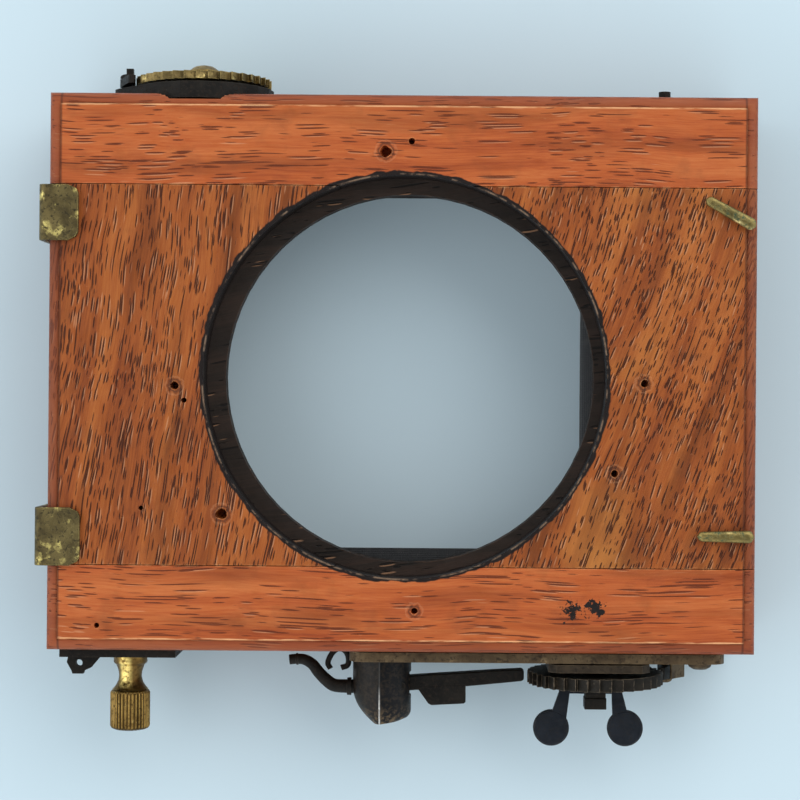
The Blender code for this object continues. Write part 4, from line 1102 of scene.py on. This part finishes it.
def lever():
    """The lever: a rounded bar from the cup to the wheel, with a wedge-shaped thumb piece."""
    shape = bmesh.new()
    tip = WINDER_X - 13.9 - LEVER_PIVOT[0]
    fall = 0.0787
    tail = 5.1
    outline = [
        (-tail, fall * tail - 1.25),
        (-tail + 0.5, fall * tail - 1.35),
        (2.0, -fall * 2.0 - 1.45),
        (tip - 6, -fall * (tip - 6) - 1.3),
        (tip - 0.4, -fall * tip - 1.15),
        (tip, -fall * tip - 0.8),
        (tip, -fall * tip + 0.8),
        (tip - 0.4, -fall * tip + 1.15),
        (13.5, -fall * 13.5 + 1.35),
        (2.2, 1.2),
        (-tail + 0.5, fall * tail + 1.35),
        (-tail, fall * tail + 1.25),
    ]
    stand = lambda p: from_bottom((LEVER_PIVOT[0] + p[0], p[2], LEVER_PIVOT[1] + p[1]))
    prism(shape, outline, -1.45, 1.45, stand)
    wedge = [(2.6, 0.4), (12.3, 0.0), (12.3, 3.5), (11.9, 3.75), (5.6, 4.1), (5.0, 3.75)]
    prism(shape, wedge, -1.5, 1.5, stand)
    made = piece("release_lever_bar", shape, BLACK, "release_lever", "release_lever", 30)
    bevel(made, 0.22, 3, 30)


lever()


def air_fitting():
    start = CUP_X - 5.7
    shape = bmesh.new()
    route = ((0.6, 8.4), (-1.4, 8.4), (-3.6, 8.2), (-5.1, 7.2), (-6.6, 5.7), (-7.8, 4.2), (-9.3, 3.3))
    route += ((-10.8, 3.15), (-12.3, 3.3))
    radii = (1.35, 1.33, 1.28, 1.22, 1.16, 1.1, 1.05, 1.0, 0.98)
    tube(shape, [from_bottom((start + x, 0, z)) for x, z in route], radii, 20)
    collar = [(-0.2, 8.4), (-1.0, 8.4)]
    tube(shape, [from_bottom((start + x, 0, z)) for x, z in collar], (1.75, 1.7), 20)
    barb = [(-10.6, 3.15), (-11.0, 3.17)]
    tube(shape, [from_bottom((start + x, 0, z)) for x, z in barb], (1.18, 1.12), 20)
    piece("hose_nipple", shape, BLACK, "root", "air_nipple", 45)

    shape = bmesh.new()
    loop = ((-4.3, 5.0), (-4.8, 3.8), (-3.9, 1.9), (-2.4, 1.0), (-1.0, 2.2), (-0.9, 4.2), (-2.2, 4.8))
    points = [from_bottom((start + x, 0, z)) for x, z in loop]
    tube(shape, points, [0.55] * len(points), 14)
    piece("hose_steady", shape, BLACK, "root", "nipple_steady", 45)


air_fitting()


# Winder: wheel, block and key


def saw(radius, depth, teeth, worn):
    """Saw teeth with slightly rounded and unequal tips."""
    rng = random.Random(11)
    outline = []
    for tooth in range(teeth):
        start = math.tau * tooth / teeth
        wear = worn * rng.random()
        root = radius - depth
        tip = ((0.0, radius - wear), (0.10, radius - 0.06 - wear))
        for share, reach in (*tip, (0.5, radius - 0.55 * depth), (0.9, root), (0.985, root)):
            angle = start + share * math.tau / teeth
            outline.append((reach * math.cos(angle), reach * math.sin(angle)))
    return outline


def winder():
    centre = (WINDER_X, 0)
    low, high = 5.0, 7.4
    shape_outline = [(WINDER_X + x, y) for x, y in saw(13.3, 0.95, 36, 0.12)]
    hole = arc(centre, 1.75, 0, 345, 23)
    mesh = with_holes("winder_wheel", shape_outline, [hole], low, high, from_bottom)
    made = piece("winder_wheel", mesh, TOOTH_BLACK, "winder", "winder_ratchet_wheel", 25)
    bevel(made, 0.09, 2, 35)

    shape = bmesh.new()
    base = high + 0.3
    half = 2.0
    lower = [(-half, -half), (half, -half), (half, half), (-half, half)]
    stand = lambda p: from_bottom((WINDER_X + p[0], p[1], p[2]))
    for y0, y1 in ((-half, -0.85), (0.85, half)):
        prism(shape, [(-half, y0), (half, y0), (half, y1), (-half, y1)], base, base + 2.0, stand)
    prism(shape, lower, base + 1.9, base + 2.35, stand)
    prism(shape, [(x * 1.06, y * 1.06) for x, y in lower], base + 2.45, base + 4.6, stand)
    prism(shape, [(x * 0.9, y * 0.9) for x, y in lower], base + 2.3, base + 2.5, stand)
    made = piece("key_block", shape, BLACK, "winder", "winding_key_block", 30)
    bevel(made, 0.16, 2, 35)

    key_stand = lambda p: from_bottom((WINDER_X + p[0], -p[2], p[1]))
    shape = bmesh.new()
    bar_low, bar_high = base + 0.15, base + 1.75
    middle = (bar_low + bar_high) / 2
    disc_height = high + 8.75
    prism(shape, [(-7.0, bar_low), (5.2, bar_low), (5.2, bar_high), (-7.0, bar_high)], -0.62, 0.62, key_stand)
    for disc_x, stem_x, foot_x in ((-8.5, -5.8, -7.2), (5.9, 4.2, 5.1)):
        run = (foot_x - stem_x, disc_height - 1.5 - middle)
        length = math.hypot(*run)
        lean = math.degrees(math.atan2(run[1], run[0]))
        outline = turned_outline(bar_outline(length, 0.95, 1.6, 6), lean, (stem_x, middle))
        prism(shape, outline, -0.66, 0.66, key_stand)
        disc = arc((disc_x, disc_height), 3.5, 0, 350, 47)
        inner = arc((disc_x, disc_height), 3.25, 0, 350, 47)
        prism(shape, disc, -0.58, 0.58, key_stand)
        prism(shape, inner, -0.72, 0.72, key_stand)
    made = piece("winding_key_wings", shape, BLUE_BLACK, "winder", "winding_key", 30)
    bevel(made, 0.12, 2, 35)


winder()


# Tension ratchet on the top side


def tension():
    low, high = 3.0, 4.5
    outline = [(SPRING_X + x, y) for x, y in saw(13.2, 0.95, 36, 0.12)]
    hole = arc((SPRING_X, 0), 1.75, 0, 345, 23)
    mesh = with_holes("tension_wheel", outline, [hole], low, high, from_top)
    made = piece("tension_wheel", mesh, WHEEL_BRASS, "tension", "tension_ratchet_wheel", 25)
    bevel(made, 0.09, 2, 35)

    shape = bmesh.new()
    profile = [(0, 7.4), (0.8, 7.36), (1.7, 7.15), (2.4, 6.75), (2.9, 6.3), (3.2, 6.25)]
    profile += [(3.4, 6.05), (3.45, 5.4), (3.45, 4.95), (3.3, 4.8), (0, 4.8)]
    lathe(shape, profile, (SPRING_X, 0), from_top, 48)
    made = piece("tension_boss", shape, WORN, "tension", "tension_hub", 35)
    shape = bmesh.new()
    left, right = SPRING_X - 3.6, SPRING_X + 3.6
    prism(shape, [(left, -0.35), (right, -0.35), (right, 0.35), (left, 0.35)], 6.6, 8.2, from_top)
    settle(made, [cutter_for(made, "screwdriver_slot", shape)])


tension()


# Clips and hooks


def clip(name, middle, half, outside, reach, finish, node):
    """An L of thick sheet brass, bent over the panel's edge."""
    left = -HALF_X - outside
    thick = 0.9
    face = FRONT + 0.3
    shape = bmesh.new()
    leg_end = face + thick - 13.0
    section = []
    bend = 1.3
    for angle in range(180, 89, -15):
        a = math.radians(angle)
        section.append((left + bend + bend * math.cos(a), face + thick - bend + bend * math.sin(a)))
    outer = [(left, leg_end)] + section + [(left + reach, face + thick)]
    inner_bend = bend - thick
    inner = [(left + reach, face)]
    for angle in range(90, 181, 15):
        a = math.radians(angle)
        inner.append((left + bend + inner_bend * math.cos(a), face + thick - bend + inner_bend * math.sin(a)))
    inner.append((left + thick, leg_end))
    loop = outer + inner
    corner = 2.0
    columns = 14
    rings = []
    for column in range(columns + 1):
        share = column / columns
        y = middle - half + 2 * half * share
        ring = []
        for x, z in loop:
            shorten = 0.0
            from_end = min(y - (middle - half), middle + half - y)
            if from_end < corner:
                shorten = corner - math.sqrt(max(0.0, corner**2 - (corner - from_end) ** 2))
            limit = left + reach - shorten
            bow = 0.10 * noise.noise(Vector((x * 0.3, y * 0.3, middle)))
            ring.append(shape.verts.new(place(min(x, limit), y, z + bow)))
        rings.append(ring)
    loft(shape, rings)
    made = piece(name, shape, finish, "root", node, 35)
    bevel(made, 0.14, 2, 50)


clip("upper_clip_bent", 29.7, 5.25, 1.6, 7.5, PATINA, "upper_clip")
clip("lower_clip_bent", -31.0, 5.45, 2.0, 8.6, PATINA, "lower_clip")


def hook(name, y, angle, finish, body, node):
    """A hook of flattened rod: its shank comes out of the wall, bends over and lies on the panel."""
    x = HALF_X - 1.8
    shape = bmesh.new()
    c, s = math.cos(math.radians(angle)), math.sin(math.radians(angle))
    half = 1.22
    levels = []
    steps = 26
    for i in range(steps + 1):
        share = i / steps
        along = -1.15 + 10.6 * share
        nose = max(0.0, (share - 0.9) / 0.1)
        heel = max(0.0, (0.1 - share) / 0.1)
        rounded = math.sqrt(max(0.02, 1 - nose**2)) * math.sqrt(max(0.02, 1 - heel**2))
        width = half * (1 - 0.22 * share) * rounded
        top = FRONT + 1.9 - 0.25 * share - 0.5 * nose**2 - 0.35 * heel**2
        base = FRONT + 0.32 + 0.1 * nose
        levels.append((along, width, base, top))
    sides = 14
    rings = []
    for along, width, base, top in levels:
        ring = []
        for k in range(sides):
            angle_k = math.tau * k / sides
            u = math.cos(angle_k)
            v = math.sin(angle_k)
            u = math.copysign(abs(u) ** 0.7, u) * width
            v = math.copysign(abs(v) ** 0.75, v)
            z = (base + top) / 2 + v * (top - base) / 2
            ring.append(shape.verts.new(place(x + along * c - u * s, y + along * s + u * c, z)))
        rings.append(ring)
    loft(shape, rings)
    shank = [(0, 8.2), (0.5, 8.2), (0.9, 8.9), (0.9, FRONT + 0.6), (0, FRONT + 0.6)]
    lathe(shape, shank, (x, y), from_board, 24)
    piece(name, shape, finish, body, node, 50)


hook("upper_hook_formed", 28.5, 151.0, GREEN, "upper_hook", "upper_hook")
hook("lower_hook_formed", -30.1, 180.0, GREEN, "lower_hook", "lower_hook")


# Blind


CLOTH_THICKNESS = 0.22


def sheet_skin(shape, grids):
    """Closes two parallel grids of vertices into a thin sheet."""
    below, above = grids
    columns, rows = len(below) - 1, len(below[0]) - 1
    for grid in grids:
        for i in range(columns):
            for j in range(rows):
                shape.faces.new((grid[i][j], grid[i + 1][j], grid[i + 1][j + 1], grid[i][j + 1]))
    border = [(i, 0) for i in range(columns)] + [(columns, j) for j in range(rows)]
    border += [(i, rows) for i in range(columns, 0, -1)] + [(0, j) for j in range(rows, 0, -1)]
    for (a, b), (c, d) in zip(border, border[1:] + border[:1]):
        shape.faces.new((below[a][b], below[c][d], above[c][d], above[a][b]))


def strip(span_x, span_y, level, seed, columns, rows, waves):
    """A closed flat strip of cloth with the slight waves of old rubbered fabric."""
    (left, right), (low, high) = span_x, span_y
    shape = bmesh.new()
    grids = []
    for offset in (-CLOTH_THICKNESS / 2, CLOTH_THICKNESS / 2):
        grid = []
        for i in range(columns + 1):
            line = []
            for j in range(rows + 1):
                x = left + (right - left) * i / columns
                y = low + (high - low) * j / rows
                wave = waves * noise.noise(Vector((i * 70 / columns * 0.13, y * 0.09, seed)))
                line.append(shape.verts.new(place(x, y, level + wave + offset)))
            grid.append(line)
        grids.append(grid)
    sheet_skin(shape, grids)
    return shape


def box_spans(node):
    low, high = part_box(node)
    across = ((low[0] - CENTRE.x) / MM, (high[0] - CENTRE.x) / MM)
    up = ((low[1] - CENTRE.y) / MM, (high[1] - CENTRE.y) / MM)
    return across, up, (low[2] / MM, high[2] / MM)


def tape(name, node, seed):
    across, up, (bottom, top) = box_spans(node)
    shape = strip(across, up, (bottom + top) / 2, seed, 90, 10, 0.09)
    made = piece(name, shape, CLOTH, "root", node, 60)


def curtain():
    """The blind itself: the short end that shows at rest, which draws out across the opening."""
    across, up, (bottom, top) = box_spans("blind_curtain")
    level = (bottom + top) / 2
    shape = strip(across, up, level, 3.0, 72, 30, 0.08)
    made = loose("curtain_cloth", shape, CLOTH, 60)
    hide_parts("blind_curtain")
    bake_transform(made)


def roll(name, node, body, seed):
    """Blind cloth wound on a roller in loose turns, with uneven edges."""
    across, up, height = box_spans(node)
    centre_x, centre_z = sum(across) / 2, sum(height) / 2
    outer = (across[1] - across[0]) / 2 - 0.03
    turns, steps, rows = 3, 56, 16
    pitch, thick = 0.185, 0.13
    shape = bmesh.new()
    grids = []
    for inset in (0.0, thick):
        grid = []
        for i in range(turns * steps + 1):
            angle = 2 * math.pi * i / steps
            line = []
            for j in range(rows + 1):
                share = j / rows
                ragged = 0.22 * (0.5 + 0.5 * noise.noise(Vector((angle * 0.6, seed, 2.0))))
                y = up[0] + ragged + (up[1] - up[0] - 2 * ragged) * share
                loose = 0.035 * noise.noise(Vector((angle * 0.9, y * 0.12, seed)))
                radius = outer - 0.035 - pitch * angle / (2 * math.pi) - inset + loose
                x, z = centre_x + radius * math.cos(angle), centre_z + radius * math.sin(angle)
                line.append(shape.verts.new(place(x, y, z)))
            grid.append(line)
        grids.append(grid)
    sheet_skin(shape, grids)
    made = piece(name, shape, CLOTH, body, node, 60)


tape("upper_tape_cloth", "upper_blind_tape", 1.0)
tape("lower_tape_cloth", "lower_blind_tape", 5.0)
curtain()
roll("winder_cloth_roll", "winder_blind_wrap", "winder", 2.0)
roll("spring_cloth_roll", "spring_blind_wrap", "spring_roller", 7.0)


# Finishes of the CAD nodes that keep their shape

KEPT = {
    BRIDGE: ["winder_bridge"],
    DULL: ["winder_base_plate", "base_plate_screw_right", "base_plate_screw_left",
           "winder_bottom_bush", "winder_top_bush", "roller_bottom_bush", "tension_bush",
           "winder_click_screw", "winder_click_spring"],
    BLACK: ["winder_click", "knob_plate", "knob_plate_screw", "cord_eye", "tension_plate", "tension_click",
            "tension_click_screw", "stop_pin", "lever_pin"],
    PATINA: ["upper_clip_upper_screw", "upper_clip_lower_screw",
             "lower_clip_upper_screw", "lower_clip_lower_screw"],
    STEEL: ["curtain_hem", "tension_spindle", "roller_spring", "release_piston", "release_spring"],
    DARK: ["winding_roller", "spring_roller"],
}
ROUNDED = {
    "winder_base_plate": 0.25, "winder_bridge": 0.3, "knob_plate": 0.25, "tension_plate": 0.3,
    "tension_click": 0.15, "winder_click": 0.15, "cord_eye": 0.15, "stop_pin": 0.3,
}
for finish, names in KEPT.items():
    for name in names:
        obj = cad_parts[name]
        for slot in obj.material_slots:
            slot.material = finish
        if name in ROUNDED:
            bevel(obj, ROUNDED[name], 3, 40)


# Floor, light and camera


def stage():
    n = Nodes("pale_table")
    grain = n.noise(n.place, 0.008, 3, 0.5)
    marks = n.noise(n.mapped(n.place, (0.02, 0.3, 1), turn=(0, 0, 24)), 1, 3, 0.6, 1.2)
    base = n.mix(n.span(grain, 0.35, 0.65), (0.53, 0.65, 0.71), (0.58, 0.70, 0.76))
    base = n.mix(n.span(marks, 0.74, 0.80, 0, 0.05), base, (0.36, 0.46, 0.52))
    n.finish(Base_Color=base, Roughness=0.55)
    shape = bmesh.new()
    bmesh.ops.create_grid(shape, x_segments=1, y_segments=1, size=1.5)
    for vertex in shape.verts:
        vertex.co.z = -0.0002
    floor = bpy.data.objects.new("floor", mesh_of("floor", shape))
    floor.data.materials.append(n.material)
    bpy.context.scene.collection.objects.link(floor)


def light(name, location, target, size, energy, colour):
    data = bpy.data.lights.new(name, "AREA")
    data.shape = "RECTANGLE"
    data.size, data.size_y = size
    data.energy = energy
    data.color = colour
    lamp = bpy.data.objects.new(name, data)
    lamp.location = location
    lamp.rotation_euler = (Vector(target) - Vector(location)).to_track_quat("-Z", "Y").to_euler()
    bpy.context.scene.collection.objects.link(lamp)


def lights():
    light("window", (0.65, 0.75, 0.95), (0.05, 0.05, 0), (1.3, 1.0), 6.8, (1.0, 0.985, 0.96))
    light("fill", (-0.9, -0.2, 0.8), (0, 0, 0), (1.2, 1.2), 4.0, (0.92, 0.96, 1.0))
    world = bpy.data.worlds.new("studio")
    bpy.context.scene.world = world
    world.use_nodes = True
    tree = world.node_tree
    background = tree.nodes["Background"]
    background.inputs["Color"].default_value = (0.90, 0.96, 1.0, 1)
    direction = tree.nodes.new("ShaderNodeTexCoord")
    height = tree.nodes.new("ShaderNodeSeparateXYZ")
    level = tree.nodes.new("ShaderNodeMapRange")
    level.inputs["From Min"].default_value = 0.72
    level.inputs["From Max"].default_value = 0.97
    level.inputs["To Min"].default_value = 1.22
    level.inputs["To Max"].default_value = 0.22
    tree.links.new(direction.outputs["Generated"], height.inputs[0])
    tree.links.new(height.outputs["Z"], level.inputs["Value"])
    tree.links.new(level.outputs["Result"], background.inputs["Strength"])


def camera():
    data = bpy.data.cameras.new("camera")
    data.sensor_width = 36
    data.lens = 90
    data.shift_x = -0.0625
    data.shift_y = -0.00625
    data.clip_start = 0.01
    data.clip_end = 10
    eye = bpy.data.objects.new("camera", data)
    eye.location = place(9.0, -3.96, 405.2)
    eye.rotation_euler = (0, 0, math.radians(0.45))
    bpy.context.scene.collection.objects.link(eye)
    bpy.context.scene.camera = eye


stage()
lights()
camera()
bpy.context.scene.view_settings.view_transform = "Standard"
